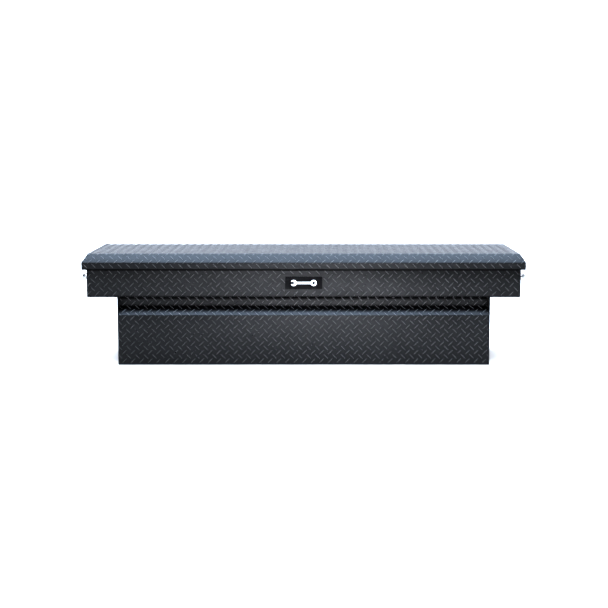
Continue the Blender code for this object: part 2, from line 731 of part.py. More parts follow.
def latch_plate(name, outline, side, y, z, mats):
    """A flat latch piece that turns on a pin at (y, z); its outline is measured from there."""
    item = prism(name, [(y + a, z + b) for a, b in outline], LATCH_X, LATCH_X + LATCH_THICK,
                 lambda a, b, x: (side * x, a, b), mats["zinc"], (side * LATCH_X, y, z))
    bore_r = LATCH_PIN_R + GAP
    bore = turned("bore", [(bore_r, LATCH_X - 0.005), (bore_r, LATCH_X + 0.02)], (0.0, y, z),
                  (side, 0, 0), 16, mats["zinc"])
    return combine(item, bore, "DIFFERENCE")


def rotor_outline():
    """Hub disc with a jaw round it, in the open position; the notch meets the pawl when latched."""
    jaw_tip, bridge, heel = 74, 165, 192
    notch = ROTOR_TRAVEL - 45
    centre = (0.0, 0.0)
    outline = arc(centre, ROTOR_HUB_R, heel - 360, notch - 10, 14)
    outline += arc(centre, ROTOR_HUB_R - 0.0035, notch - 10, notch - 4, 1)
    outline += arc(centre, ROTOR_HUB_R, notch + 8, bridge, 12)
    outline += arc(centre, JAW_INNER_R, bridge, jaw_tip + 3, 9)
    outline += arc(centre, JAW_OUTER_R, jaw_tip + 1, heel, 12)
    return outline


PAWL_OUTLINE = [(0.032, -0.002), (0.032, 0.004), (0.009, 0.004), (0.004, 0.010),
                (-0.0025, 0.0235), (-0.0074, 0.0214), (-0.011, 0.0155), (-0.007, 0.004),
                (-0.007, -0.003), (-0.003, -0.007), (0.003, -0.007), (0.009, -0.003)]


def release_link(name, side, mats):
    """L-shaped push rod between the paddle's tab and the pawl's arm."""
    foot = PAWL_Z + 0.004 + PUSH_GAP
    top = TAB_LOW - PUSH_GAP
    shape = [(LATCH_X, foot), (0.868, foot), (0.868, top), (0.861, top), (0.861, foot + 0.005),
             (LATCH_X, foot + 0.005)]
    return prism(name, shape, LINK_Y - LINK_WIDTH / 2, LINK_Y + LINK_WIDTH / 2,
                 lambda x, z, y: (side * x, y, z), mats["zinc"], (side * 0.8645, LINK_Y, top))


def striker(name, side, mats):
    """U-shaped rod under the lid that the rotor's jaw closes over."""
    top = LID_UNDERSIDE - GAP
    inner, outer, corner = 0.8335, 0.8570, 0.006
    line = bend_corners([(inner, top - 0.002), (inner, STRIKER_Z), (outer, STRIKER_Z),
                         (outer, top - 0.002)], corner, 5)
    route = [Vector((side * x, HANDLE_Y, z)) for x, z in line]
    item = swept_rod(name, route, STRIKER_R, 12, mats["zinc"])
    outline = rounded_rectangle((0.8435, HANDLE_Y), 0.035, 0.036, 0.005, 3)
    base = prism("base", outline, top - 0.003, top, lambda x, y, z: (side * x, y, z), mats["zinc"])
    return smooth(combine(item, base, "UNION"))


def latch(label, side, mats):
    latch_body(f"{label}_latch_body", side, mats)
    latch_pin(f"{label}_rotor_pin", side, ROTOR_Y, ROTOR_Z, mats)
    latch_pin(f"{label}_pawl_pin", side, PAWL_Y, PAWL_Z, mats)
    latch_plate(f"{label}_rotor", rotor_outline(), side, ROTOR_Y, ROTOR_Z, mats)
    latch_plate(f"{label}_pawl", PAWL_OUTLINE, side, PAWL_Y, PAWL_Z, mats)
    release_link(f"{label}_release_link", side, mats)
    striker(f"{label}_striker", side, mats)


# ---- assembly -----------------------------------------------------------------------------------
def build():
    clear_scene()
    mats = make_materials()
    long_wall("front_panel", -1, mats)
    long_wall("back_panel", 1, mats)
    bottom_panel(mats)
    lid_seal(mats)
    badge_plate(mats)
    lid_shell(mats)
    lid_stiffener(mats)
    hinge(mats)
    for label, side in (("left", -1), ("right", 1)):
        end_panel(f"{label}_end_panel", side, mats)
        strut_bracket_tub(f"{label}_strut_bracket_tub", side, mats)
        strut_bracket_lid(f"{label}_strut_bracket_lid", side, mats)
        strut(label, side, mats)
        handle_dish(f"{label}_handle_dish", side, mats)
        handle_gasket(f"{label}_handle_gasket", side, mats)
        paddle(label, side, mats)
        paddle_pin(label, side, mats)
        paddle_spring(label, side, mats)
        lock(label, side, mats)
        latch(label, side, mats)


build()
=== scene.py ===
"""Looks of the crossover truck tool box: diamond tread plate, powder coat, bright handles, welds,
rivets, hinge, seal, gas struts and latch works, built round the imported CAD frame."""

import json
import math

import bmesh
import bpy
import numpy as np
from mathutils import Matrix, Vector


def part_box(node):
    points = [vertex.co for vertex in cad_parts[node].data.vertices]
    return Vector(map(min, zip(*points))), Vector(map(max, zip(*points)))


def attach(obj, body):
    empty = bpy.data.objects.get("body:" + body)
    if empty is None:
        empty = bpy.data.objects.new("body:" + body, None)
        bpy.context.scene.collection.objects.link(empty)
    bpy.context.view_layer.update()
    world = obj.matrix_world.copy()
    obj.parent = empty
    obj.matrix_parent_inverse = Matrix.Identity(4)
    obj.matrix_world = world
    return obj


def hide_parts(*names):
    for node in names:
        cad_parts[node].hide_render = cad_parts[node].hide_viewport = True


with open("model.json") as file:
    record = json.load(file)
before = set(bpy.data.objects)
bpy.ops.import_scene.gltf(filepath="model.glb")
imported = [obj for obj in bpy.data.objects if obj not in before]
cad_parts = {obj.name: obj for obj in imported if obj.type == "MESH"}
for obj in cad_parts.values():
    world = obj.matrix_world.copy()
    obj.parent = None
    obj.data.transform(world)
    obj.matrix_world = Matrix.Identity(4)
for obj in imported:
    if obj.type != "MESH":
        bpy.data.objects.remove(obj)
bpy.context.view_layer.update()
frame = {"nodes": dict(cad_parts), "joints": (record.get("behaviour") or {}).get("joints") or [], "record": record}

# ---- sizes read from the frame ----
lid_low, lid_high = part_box("lid_shell")
front_low, front_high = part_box("front_panel")
end_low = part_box("right_end_panel")[0]
badge_low, badge_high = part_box("badge_plate")
dish_low, dish_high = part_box("right_handle_dish")
leaf_low, leaf_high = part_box("hinge_leaf_tub")
LID_HALF_X = lid_high.x
LID_HALF_Y = lid_high.y
HEIGHT = lid_high.z
LID_EDGE_Z = lid_low.z
BODY_HALF_X = front_high.x
BODY_HALF_Y = -front_low.y
RIM_Z = front_high.z
SHEET = 0.0016
LOWER_HALF_X = end_low.x + SHEET
RAIL_Z = [m["pos_m"][2] for m in frame["record"]["mounts"] if m["name"] == "right_rail_seat"][0]

# ---- sizes of the folded sheets, as in the CAD ----
GAP = 0.0003
BEND = 0.0024
RIM_FLANGE = 0.010
LID_BEND = 0.004
LID_CHAMFER_INSET = 0.0233
LID_CHAMFER_Z = 0.4223
RECESS_HALF_Y = 0.2035
RECESS_LOW_Z = 0.2386
LEDGE_Z = 0.2056
HANDLE_Y = (dish_low.y + dish_high.y) / 2
DISH_Z = (dish_low.z + dish_high.z) / 2

# ---- painted shade in the folds and along the lid's hem: height of the middle and half width of each band, and how the painted shade looks ----
# painted shade in the rail recess: under the shelf, and in the corner above the ledge
WALL_FOLD_SHADE = ((RAIL_Z - 0.0040, 0.0120), (RECESS_LOW_Z - 0.0070, 0.0170))
# painted shadow line along the lid's lowest edge
LID_HEM_SHADE = ((LID_EDGE_Z + 0.0005, 0.0045),)
FOLD_SHADE_LEFT = 0.05
FOLD_SHADE_CORE = 0.35
FOLD_SHADE_COLOUR = (0.0004, 0.0004, 0.0004)

# ---- tread plate: the pattern's sizes, where it starts, and how far it keeps from edges ----
PITCH = 0.03516
BAR_LENGTH = 0.0270
BAR_WIDTH = 0.0033
BAR_HEIGHT = 0.0011
BAR_RINGS = ((1.0, -0.18), (0.90, 0.42), (0.66, 0.86), (0.34, 1.0))
BAR_FULLNESS = 0.575
BAR_END_SLOPE = 0.45
BAR_STEPS = 8
LID_BAR_STEPS = 5
TUB_PHASE_X = 0.0030
TUB_PHASE_Z = 0.1580
UPPER_PHASE_UP = 0.0045
LID_PHASE_X = 0.0100
LID_PHASE_UP = 0.0047
EDGE_MARGIN = 0.0035
MITRE_MARGIN = 0.002
MITRE_OVERLAP = 0.001
CENTRE_SPARE = 0.006
LID_CENTRE_SPARE = 0.004
LID_FOLD_SPARE = 0.010
RIDGE_SPARE = 0.012
SEAM_INSET = 0.013
WALL_END_TRIM = 0.001
BADGE_CLEARANCE = 0.004
LEAF_CLEARANCE = 0.004
DISH_CLEARANCE = 0.006

# ---- broken edges of the finished CAD nodes ----
SHEET_EDGE = 0.0003
THIN_EDGE = 0.0002
SMALL_EDGE = 0.0004
PLATE_EDGE = 0.0005
SOFT_EDGE = 0.0006

# ---- welds, the dark strip that stands for the lid's shadow, and fixings ----
WELD_SINK = 0.0002
SEAM_WELD = 0.0011
CORNER_WELD = 0.0010
CORNER_WELD_ENDS = (0.001, 0.003)
SHELF_WELD = 0.0008
SHELF_WELD_IN = 0.0009
SHELF_WELD_END = 0.002
BOTTOM_WELD = 0.0016
BOTTOM_WELD_UP = 0.0006
WELD_RIPPLE = 0.0035
RIPPLE_SWELL = 0.16
BOTTOM_RIPPLE = 0.006
STRIP_END_GAP = 0.004
STRIP_OVERLAP = 0.0006
STRIP_DROP = 0.0056
STRIP_DEPTH = 0.0013
HINGE_RIVETS = 15
HINGE_RIVET_INSET = 0.035
LEAF_RIVET_UP = 0.011
LID_RIVET_UP = 0.0215
LEAF_THICKNESS = 0.0015
HINGE_RIVET = (0.0032, 0.0014)
STIFFENER_RIVETS = 13
STIFFENER_RIVET_REACH = 0.77
STIFFENER_RIVET_INSET = 0.011
STIFFENER_RIVET = (0.003, 0.0014)
BRACKET_RIVET = (0.003, 0.0014)
BRACKET_RIVET_INSET = 0.008
BRACKET_RIVET_ACROSS = 0.009
BRACKET_THICKNESS = 0.0025
SMALL_RIVET = (0.0026, 0.0013)
DISH_RIVET_INSET = 0.0056
STRIKER_RIVET_INSET = 0.006
STRIKER_RIVETS_ACROSS = (0.0055, 0.0295)
STRIKER_PLATE = 0.003

# ---- the badge's mark: a double-ended spanner ----
MARK_THICKNESS = 0.00035
MARK_SINK = 0.0001
MARK_REACH = 0.0405
SHANK_WIDTH = 0.0086
SHANK_CORNER = 0.002
HEAD_RADIUS = 0.0122
JAW_HALF = 0.0052
JAW_FLOOR_HALF = 0.003
JAW_MOUTH = 0.016
JAW_SHOULDER = 0.0015
RING_RADIUS = 0.0068
GROOVE = (0.050, 0.0030, 0.0012)
CUT_LOW = -0.001
CUT_HIGH = 0.002

# ---- struts: distances along the axis from the lower ball, with the lid shut ----
TUBE_START = 0.0183
TUBE_LENGTH = 0.160
TUBE_RADIUS = 0.009
TUBE_GROOVE = 0.014
GROOVE_DEPTH = 0.0009
MOUTH_RADIUS = 0.0043
MOUTH_DEPTH = 0.010
ROD_RADIUS = 0.004
ROD_START = 0.040
ROD_END = 0.2019271

# ---- pins, springs and locks ----
PIN_RADIUS = 0.004
PIN_HEAD_RADIUS = 0.0070
PIN_HEAD_HEIGHT = 0.0027
PADDLE_PIN_RADIUS = 0.0025
HINGE_PIN_RADIUS = 0.002
SPRING_TURNS = 6
SPRING_STEPS = 28
SPRING_WIRE = 0.0006
PLUG_BORE = 0.0043
BARREL_RADIUS = 0.0065
COLLAR_RADIUS = 0.0077
COLLAR_HEIGHT = 0.0015

# ---- camera, solved from the object's own straight edges ----
CAMERA_PLACE = (0.047, -5.572, 0.952)
CAMERA_PITCH = 7.479
CAMERA_SHIFT = -0.01844
CAMERA_LENS = 78.09

# ---- studio ----
FLOOR = (0.375, 0.341, 0.306)
FLOOR_HALF = 90.0
FLOOR_DROP = 0.0008
FLOOR_ROUGHNESS = 0.85
WORLD_RAMP = (-0.5, 0.35)
WORLD_BACK = 3.5
WORLD_FRONT = 0.30
WORLD_BACK_COLOUR = (0.90, 0.98, 1.12)
OVERHEAD = 27.0
OVERHEAD_ANGLE = 58
OVERHEAD_FROM = (-0.03, -0.10, 1.0)
OVERHEAD_COLOUR = (0.60, 0.77, 1.0)
KEY_FROM = (0.20, -5.6, 1.1)
KEY_AT = (0, 0, 0.3)
KEY_COLOUR = (0.95, 0.97, 1.05)
KEY_SIZE = (2.4, 1.4)
KEY_SPREAD = 34
KEY_POWER = 12
POOL_FROM = (0.15, -3.4, 2.6)
POOL_AT = (0.15, -1.9, 0.0)
POOL_SIZE = (0.9, 0.9)
POOL_SPREAD = 42
POOL_POWER = 430
POOL_COLOUR = (0.82, 0.91, 1.08)
SIDE_AT = (0, -0.2, 0.2)
SIDE_SIZE = (2.6, 2.6)
SIDE_COLOUR = (0.93, 0.96, 1.0)
LEFT_FROM = (-3.4, -3.9, 3.4)
LEFT_POWER = 200
RIGHT_FROM = (4.2, -2.2, 3.0)
RIGHT_POWER = 140
CONTRAST = 0.82


# ---- shape tools ----
def arc(centre, radius, start, end, steps):
    """Points of an arc, between two angles in degrees."""
    points = []
    for i in range(steps + 1):
        angle = math.radians(start + (end - start) * i / steps)
        points.append((centre[0] + radius * math.cos(angle), centre[1] + radius * math.sin(angle)))
    return points


def bend_corners(corners, radius=BEND, steps=6):
    """An open outline with its inner corners rounded to a bend radius."""
    points = [corners[0]]
    for before, corner, after in zip(corners, corners[1:], corners[2:]):
        here = Vector(corner)
        back = (Vector(before) - here).normalized()
        ahead = (Vector(after) - here).normalized()
        half = back.angle(ahead) / 2
        centre = here + (back + ahead).normalized() * (radius / math.sin(half))
        reach = radius / math.tan(half)
        first = here + back * reach - centre
        last = here + ahead * reach - centre
        sweep = math.pi - 2 * half
        turn = sweep if first.x * last.y - first.y * last.x > 0 else -sweep
        for i in range(steps + 1):
            points.append(tuple(centre + Matrix.Rotation(turn * i / steps, 2) @ first))
    points.append(corners[-1])
    return points


def rounded_rectangle(centre, width, height, radius, steps=6):
    outline = []
    for sx, sy, start in ((1, 1, 0), (-1, 1, 90), (-1, -1, 180), (1, -1, 270)):
        middle = (centre[0] + sx * (width / 2 - radius), centre[1] + sy * (height / 2 - radius))
        outline += arc(middle, radius, start, start + 90, steps)
    return outline


def new_piece(name, bm, material, body, sharp=40):
    """Turns a bmesh into a named piece that rides on a body, with the given material."""
    mesh = bpy.data.meshes.new(name)
    bmesh.ops.recalc_face_normals(bm, faces=bm.faces)
    bm.to_mesh(mesh)
    bm.free()
    mesh.materials.append(material)
    mesh.shade_smooth()
    mesh.set_sharp_from_angle(angle=math.radians(sharp))
    item = bpy.data.objects.new(name, mesh)
    bpy.context.scene.collection.objects.link(item)
    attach(item, body)
    return item


def circle(bm, centre, across, beside, radius, sides):
    """A loop of vertices round a centre, in the plane of two square directions."""
    loop = []
    for i in range(sides):
        angle = 2 * math.pi * i / sides
        spoke = across * math.cos(angle) + beside * math.sin(angle)
        loop.append(bm.verts.new(centre + spoke * radius))
    return loop


def join_loops(bm, loops, ring=False):
    """Skins a row of equal loops, and closes its ends or joins the last loop to the first."""
    pairs = list(zip(loops, loops[1:]))
    if ring:
        pairs.append((loops[-1], loops[0]))
    else:
        bm.faces.new(loops[0])
        bm.faces.new(loops[-1])
    for one, two in pairs:
        for i in range(len(one)):
            j = (i + 1) % len(one)
            bm.faces.new([one[i], one[j], two[j], two[i]])


def add_prism(bm, outline, low, high, place):
    """Adds a straight solid; place turns outline and height into a point."""
    join_loops(bm, [[bm.verts.new(place(a, b, c)) for a, b in outline] for c in (low, high)])


def add_turned(bm, profile, base, axis, sides=32, ring=False):
    """Adds a turned solid: profile holds (radius, distance along the axis)."""
    axis = Vector(axis).normalized()
    across = axis.orthogonal().normalized()
    beside = axis.cross(across)
    loops = [circle(bm, Vector(base) + axis * along, across, beside, radius, sides)
             for radius, along in profile]
    join_loops(bm, loops, ring)


def add_tube(bm, route, radii, sides=10):
    """Adds a round rod along world points; radii may be one number or one for each point."""
    last = len(route) - 1
    normal = (route[1] - route[0]).normalized().orthogonal().normalized()
    loops = []
    for i, point in enumerate(route):
        forward = (route[min(i + 1, last)] - route[max(i - 1, 0)]).normalized()
        normal = (normal - forward * normal.dot(forward)).normalized()
        radius = radii[i] if isinstance(radii, list) else radii
        loops.append(circle(bm, point, normal, forward.cross(normal), radius, sides))
    join_loops(bm, loops)


def dome(radius, height, steps=4):
    """Profile of a rivet's domed head, from its rim to its crown."""
    points = [(radius, -0.0004), (radius, height * 0.12)]
    for i in range(1, steps + 1):
        angle = math.radians(90 * i / (steps + 0.6))
        points.append((radius * math.cos(angle), height * (0.12 + 0.88 * math.sin(angle))))
    return points


# ---- materials ----
class Shader:
    """A material's nodes, with short helpers for the links that every finish here needs."""

    def __init__(self, name, colour, metallic, roughness):
        self.material = bpy.data.materials.new(name)
        self.material.use_nodes = True
        self.nodes = self.material.node_tree.nodes
        self.links = self.material.node_tree.links
        self.main = self.nodes["Principled BSDF"]
        self.main.inputs["Base Color"].default_value = (*colour, 1.0)
        self.main.inputs["Metallic"].default_value = metallic
        self.main.inputs["Roughness"].default_value = roughness
        self.place = self.nodes.new("ShaderNodeTexCoord").outputs["Object"]

    def node(self, kind, **values):
        item = self.nodes.new(kind)
        for key, value in values.items():
            item.inputs[key.replace("_", " ")].default_value = value
        return item

    def noise(self, scale, detail=3.0, rough=0.6, stretch=None):
        item = self.node("ShaderNodeTexNoise", Scale=scale, Detail=detail, Roughness=rough)
        place = self.place
        if stretch:
            mapping = self.node("ShaderNodeMapping", Scale=stretch)
            self.links.new(place, mapping.inputs["Vector"])
            place = mapping.outputs["Vector"]
        self.links.new(place, item.inputs["Vector"])
        return item.outputs["Fac"]

    def spread(self, source, low, high, start=0.3, end=0.7):
        """Maps a value between start and end onto low to high."""
        item = self.node("ShaderNodeMapRange", From_Min=start, From_Max=end,
                         To_Min=low, To_Max=high)
        self.links.new(source, item.inputs["Value"])
        return item.outputs["Result"]

    def blend(self, factor, low):
        """A mix from a colour towards its input B, which becomes the base colour."""
        mix = self.nodes.new("ShaderNodeMix")
        mix.data_type = "RGBA"
        mix.inputs["A"].default_value = (*low, 1.0)
        self.links.new(factor, mix.inputs["Factor"])
        self.links.new(mix.outputs["Result"], self.main.inputs["Base Color"])
        return mix.inputs["B"]

    def vary_colour(self, source, low, high):
        """Base colour between two shades, by a noise."""
        self.blend(self.spread(source, 0.0, 1.0), low).default_value = (*high, 1.0)

    def calculate(self, operation, source, second=None):
        item = self.nodes.new("ShaderNodeMath")
        item.operation = operation
        self.links.new(source, item.inputs[0])
        if isinstance(second, float):
            item.inputs[1].default_value = second
        elif second:
            self.links.new(second, item.inputs[1])
        return item.outputs[0]

    def paint_fold_shade(self, folds, level):
        """Painted shade: dulls and darkens the coat in narrow level bands, standing in for the shadow that falls
        in folds and under edges.
        """
        split = self.nodes.new("ShaderNodeSeparateXYZ")
        self.links.new(self.place, split.inputs["Vector"])
        mask = None  # 1 on open faces, down to the darkest painted shade in the folds
        for height, half_width in folds:
            above = self.calculate("SUBTRACT", split.outputs["Z"], height)
            away = self.calculate("ABSOLUTE", above)
            near = self.spread(away, FOLD_SHADE_LEFT, 1.0, half_width * FOLD_SHADE_CORE, half_width)
            mask = self.calculate("MULTIPLY", mask, near) if mask else near
        shine = self.spread(mask, 0.0, level, 0.0, 1.0)
        self.links.new(shine, self.main.inputs["Specular IOR Level"])
        coat = self.main.inputs["Base Color"].links[0].from_socket
        self.links.new(coat, self.blend(mask, FOLD_SHADE_COLOUR))

    def vary_roughness(self, source, low, high):
        self.links.new(self.spread(source, low, high), self.main.inputs["Roughness"])

    def bump(self, source, height, strength=1.0):
        item = self.node("ShaderNodeBump", Strength=strength, Distance=height)
        self.links.new(source, item.inputs["Height"])
        previous = self.main.inputs["Normal"].links
        if previous:
            self.links.new(previous[0].from_socket, item.inputs["Normal"])
        self.links.new(item.outputs["Normal"], self.main.inputs["Normal"])


def powder_coat(name, low, high, rough_low, rough_high, level, folds=()):
    """Textured black powder coat: fine orange peel, a slow random change of tone, and painted shade in the folds.
    """
    s = Shader(name, low, 0.0, rough_low)
    s.main.inputs["Specular IOR Level"].default_value = level
    s.vary_colour(s.noise(9.0, 5.0), low, high)
    s.vary_roughness(s.noise(26.0, 4.0), rough_low, rough_high)
    s.bump(s.noise(1500.0, 2.0), 0.00006, 0.35)
    s.bump(s.noise(240.0, 3.0), 0.00006, 0.25)
    if folds:
        s.paint_fold_shade(folds, level)
    return s.material


def polished_steel(name):
    s = Shader(name, (0.31, 0.31, 0.31), 1.0, 0.16)
    s.vary_colour(s.noise(30.0), (0.28, 0.282, 0.284), (0.34, 0.34, 0.338))
    s.vary_roughness(s.noise(60.0, 4.0, 0.6, (1.0, 14.0, 1.0)), 0.10, 0.26)
    s.bump(s.noise(900.0, 2.0, 0.5, (1.0, 0.04, 1.0)), 0.00003, 0.35)
    return s.material


def zinc_plate(name, low, high):
    s = Shader(name, low, 1.0, 0.34)
    s.vary_colour(s.noise(55.0, 5.0), low, high)
    s.vary_roughness(s.noise(120.0, 4.0), 0.26, 0.46)
    s.bump(s.noise(1300.0, 2.0), 0.00004, 0.4)
    return s.material


def soft_black(name, low, high, rough_low, rough_high, grain, depth, level=0.3):
    s = Shader(name, low, 0.0, rough_low)
    s.main.inputs["Specular IOR Level"].default_value = level
    s.vary_colour(s.noise(40.0, 4.0), low, high)
    s.vary_roughness(s.noise(90.0, 3.0), rough_low, rough_high)
    s.bump(s.noise(grain, 2.0), depth, 0.5)
    return s.material


def gloss_paint(name):
    s = Shader(name, (0.012, 0.012, 0.013), 0.0, 0.22)
    s.main.inputs["Coat Weight"].default_value = 0.6
    s.main.inputs["Coat Roughness"].default_value = 0.06
    s.vary_roughness(s.noise(50.0), 0.18, 0.30)
    s.vary_colour(s.noise(14.0), (0.010, 0.010, 0.011), (0.017, 0.017, 0.018))
    s.bump(s.noise(300.0, 2.0), 0.00003, 0.3)
    return s.material


def hard_chrome(name):
    s = Shader(name, (0.82, 0.82, 0.84), 1.0, 0.06)
    s.vary_roughness(s.noise(200.0, 2.0), 0.04, 0.11)
    s.vary_colour(s.noise(25.0), (0.78, 0.79, 0.81), (0.85, 0.85, 0.86))
    s.bump(s.noise(1500.0, 1.0, 0.5, (1.0, 1.0, 0.1)), 0.00001, 0.3)
    return s.material


def white_ink(name):
    s = Shader(name, (0.80, 0.80, 0.79), 0.0, 0.42)
    s.vary_colour(s.noise(120.0, 4.0), (0.72, 0.72, 0.71), (0.86, 0.86, 0.85))
    s.vary_roughness(s.noise(300.0), 0.36, 0.52)
    s.bump(s.noise(1800.0, 2.0), 0.00002, 0.4)
    return s.material


def weld_metal(name):
    s = Shader(name, (0.003, 0.003, 0.0032), 0.0, 0.45)
    s.main.inputs["Specular IOR Level"].default_value = 0.10
    s.vary_colour(s.noise(80.0), (0.0018, 0.0019, 0.0020), (0.0042, 0.0043, 0.0045))
    s.vary_roughness(s.noise(220.0), 0.38, 0.58)
    s.bump(s.noise(700.0, 3.0), 0.00015, 0.5)
    return s.material


# Each coat: darkest and lightest colour, lowest and highest roughness, and shine.
COAT = ((0.0022, 0.0023, 0.0024), (0.0038, 0.0039, 0.0041), 0.30, 0.38, 0.11)
# The bars' colour is painted lighter than the sheet's coat: a painted highlight on the raised bars.
BARS_WITH_PAINTED_HIGHLIGHT = ((0.0070, 0.0072, 0.0075), (0.0120, 0.0123, 0.0128), 0.26, 0.34, 0.36)
INSIDE = ((0.008, 0.0083, 0.0088), (0.014, 0.0144, 0.015), 0.38, 0.50, 0.30)
HINGE = ((0.020, 0.021, 0.023), (0.034, 0.035, 0.038), 0.34, 0.48, 0.45)
MAT = {
    # The lid and wall coats carry painted shade: dark, dull bands along the lid's hem and in the folds of the rail
    # recess.
    "lid": powder_coat("lid_coat_black", *COAT, LID_HEM_SHADE),
    "coat": powder_coat("powder_coat_black", *COAT),
    "wall": powder_coat("wall_coat_black", *COAT, WALL_FOLD_SHADE),
    "bars": powder_coat("tread_bar_black", *BARS_WITH_PAINTED_HIGHLIGHT),
    "weld": weld_metal("weld_coated"),
    "inside": powder_coat("inside_coat_black", *INSIDE),
    "hinge": powder_coat("hinge_coat_black", *HINGE),
    "polished": polished_steel("polished_stainless_steel"),
    "zinc": zinc_plate("zinc_plated_steel", (0.52, 0.52, 0.49), (0.66, 0.66, 0.63)),
    "spring": zinc_plate("oiled_spring_wire", (0.30, 0.30, 0.31), (0.45, 0.45, 0.46)),
    "brass": zinc_plate("lock_plug_brass", (0.62, 0.50, 0.27), (0.78, 0.66, 0.40)),
    "rubber": soft_black("seal_rubber_black", (0.010, 0.010, 0.0105), (0.020, 0.020, 0.021),
                         0.62, 0.85, 800.0, 0.0001),
    # A near-black, barely reflecting strip: painted shadow under the lid's edge.
    "strip": soft_black("rub_strip_black", (0.0010, 0.0010, 0.0011), (0.0024, 0.0024, 0.0025),
                        0.60, 0.80, 700.0, 0.00008, 0.03),
    "nylon": soft_black("socket_nylon_black", (0.014, 0.014, 0.015), (0.026, 0.026, 0.028),
                        0.42, 0.60, 600.0, 0.00006),
    "badge": soft_black("badge_satin_black", (0.0020, 0.0020, 0.0021), (0.0036, 0.0036, 0.0038),
                        0.34, 0.46, 900.0, 0.00002, 0.02),
    "ink": white_ink("badge_white_ink"),
    "strut": gloss_paint("strut_gloss_black"),
    "chrome": hard_chrome("rod_hard_chrome"),
}


# ---- finished copies of the CAD nodes: bevelled edges, smooth bends ----
def finish_node(node, body, material, edge, angle=40, segments=2):
    """A copy of a CAD node with its sharp edges rounded, which stands for the node."""
    bm = bmesh.new()
    bm.from_mesh(frame["nodes"][node].data)
    bmesh.ops.remove_doubles(bm, verts=bm.verts, dist=1e-6)
    bmesh.ops.dissolve_limit(bm, angle_limit=math.radians(0.5), verts=bm.verts, edges=bm.edges)
    if edge > 0:
        limit = math.radians(angle)
        sharp = [e for e in bm.edges if len(e.link_faces) == 2 and e.calc_face_angle(0.0) > limit]
        bmesh.ops.bevel(bm, geom=sharp, offset=edge, offset_type="OFFSET", segments=segments,
                        profile=0.5, affect="EDGES", clamp_overlap=True)
    item = new_piece(f"{node}_finish", bm, material, body, 35)
    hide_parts(node)
    return item


BODY_OF = {n: b for b, names in frame["record"]["behaviour"]["bodies"].items() for n in names}


def finish_nodes():
    """Every CAD node that keeps its own shape, with its finish and how far its edges are broken."""
    whole = {
        "front_panel": ("wall", SHEET_EDGE), "back_panel": ("wall", SHEET_EDGE),
        "bottom_panel": ("inside", SHEET_EDGE), "lid_shell": ("lid", 0.0),
        "lid_stiffener": ("inside", SHEET_EDGE), "lid_seal": ("rubber", 0.0),
        "badge_plate": ("badge", SHEET_EDGE), "hinge_leaf_tub": ("hinge", 0.0),
        "hinge_leaf_lid": ("hinge", 0.0),
    }
    sided = {
        "end_panel": ("coat", SHEET_EDGE), "strut_bracket_tub": ("zinc", SMALL_EDGE),
        "strut_bracket_lid": ("zinc", SMALL_EDGE), "handle_dish": ("polished", PLATE_EDGE),
        "handle_gasket": ("rubber", THIN_EDGE), "paddle": ("polished", SOFT_EDGE),
        "latch_body": ("zinc", PLATE_EDGE), "rotor": ("zinc", PLATE_EDGE),
        "pawl": ("zinc", PLATE_EDGE), "release_link": ("zinc", SOFT_EDGE),
        "striker": ("zinc", SMALL_EDGE), "strut_upper_socket": ("nylon", SOFT_EDGE),
        "strut_lower_socket": ("nylon", SOFT_EDGE),
    }
    for label in ("left", "right"):
        whole.update({f"{label}_{name}": value for name, value in sided.items()})
    for node, (finish, edge) in whole.items():
        finish_node(node, BODY_OF[node], MAT[finish], edge)


# ---- tread plate bars ----
class Developed:
    """A folded sheet's outer face rolled out flat: from the distance along to point and normal."""

    def __init__(self, corners, radius=BEND):
        self.points = np.array(bend_corners(corners, radius))
        steps = np.diff(self.points, axis=0)
        lengths = np.hypot(steps[:, 0], steps[:, 1])
        self.along = np.concatenate([[0.0], np.cumsum(lengths)])
        left = np.stack([-steps[:, 1], steps[:, 0]], 1) / lengths[:, None]
        before = np.vstack([left[:1], left])
        after = np.vstack([left, left[-1:]])
        normals = before + after
        self.normals = normals / np.linalg.norm(normals, axis=1)[:, None]

    def at(self, s):
        a = np.interp(s, self.along, self.points[:, 0])
        b = np.interp(s, self.along, self.points[:, 1])
        return a, b

    def lifted(self, s, height):
        a, b = self.at(s)
        na = np.interp(s, self.along, self.normals[:, 0])
        nb = np.interp(s, self.along, self.normals[:, 1])
        return a + na * height, b + nb * height

    def distance(self, test):
        """The distance along the outline of the first point that passes the test."""
        for i, (a, b) in enumerate(self.points):
            if test(a, b):
                return self.along[i]
        raise ValueError("no such point")


def bar_template(steps):
    """One raised bar: rings from its foot, sunk a little in the sheet, to its crown. Each ring runs
    from one pointed end to the other and back, with evenly spaced points."""
    sides = 2 * steps
    across, along, height = [], [], []
    for scale, level in BAR_RINGS:
        for i in range(sides):
            u = 1 - 2 * i / steps if i <= steps else 2 * i / steps - 3
            width = max(0.0, 1 - u * u) ** BAR_FULLNESS
            along.append(BAR_LENGTH / 2 * u * (1 - (1 - scale) * BAR_END_SLOPE))
            across.append(BAR_WIDTH / 2 * (width if i < steps else -width) * scale)
            height.append(BAR_HEIGHT * level)
    faces = []
    for ring in range(len(BAR_RINGS) - 1):
        for i in range(sides):
            j = (i + 1) % sides
            faces.append((ring * sides + i, ring * sides + j,
                          (ring + 1) * sides + j, (ring + 1) * sides + i))
    faces.append(tuple(reversed(range(sides))))
    faces.append(tuple(range((len(BAR_RINGS) - 1) * sides, len(BAR_RINGS) * sides)))
    return np.array(along), np.array(across), np.array(height), faces


WALL_BAR = bar_template(BAR_STEPS)
LID_BAR = bar_template(LID_BAR_STEPS)


def pitches_within(span, first):
    low, high = span
    return range(math.ceil((low - first) / PITCH), math.floor((high - first) / PITCH) + 1)


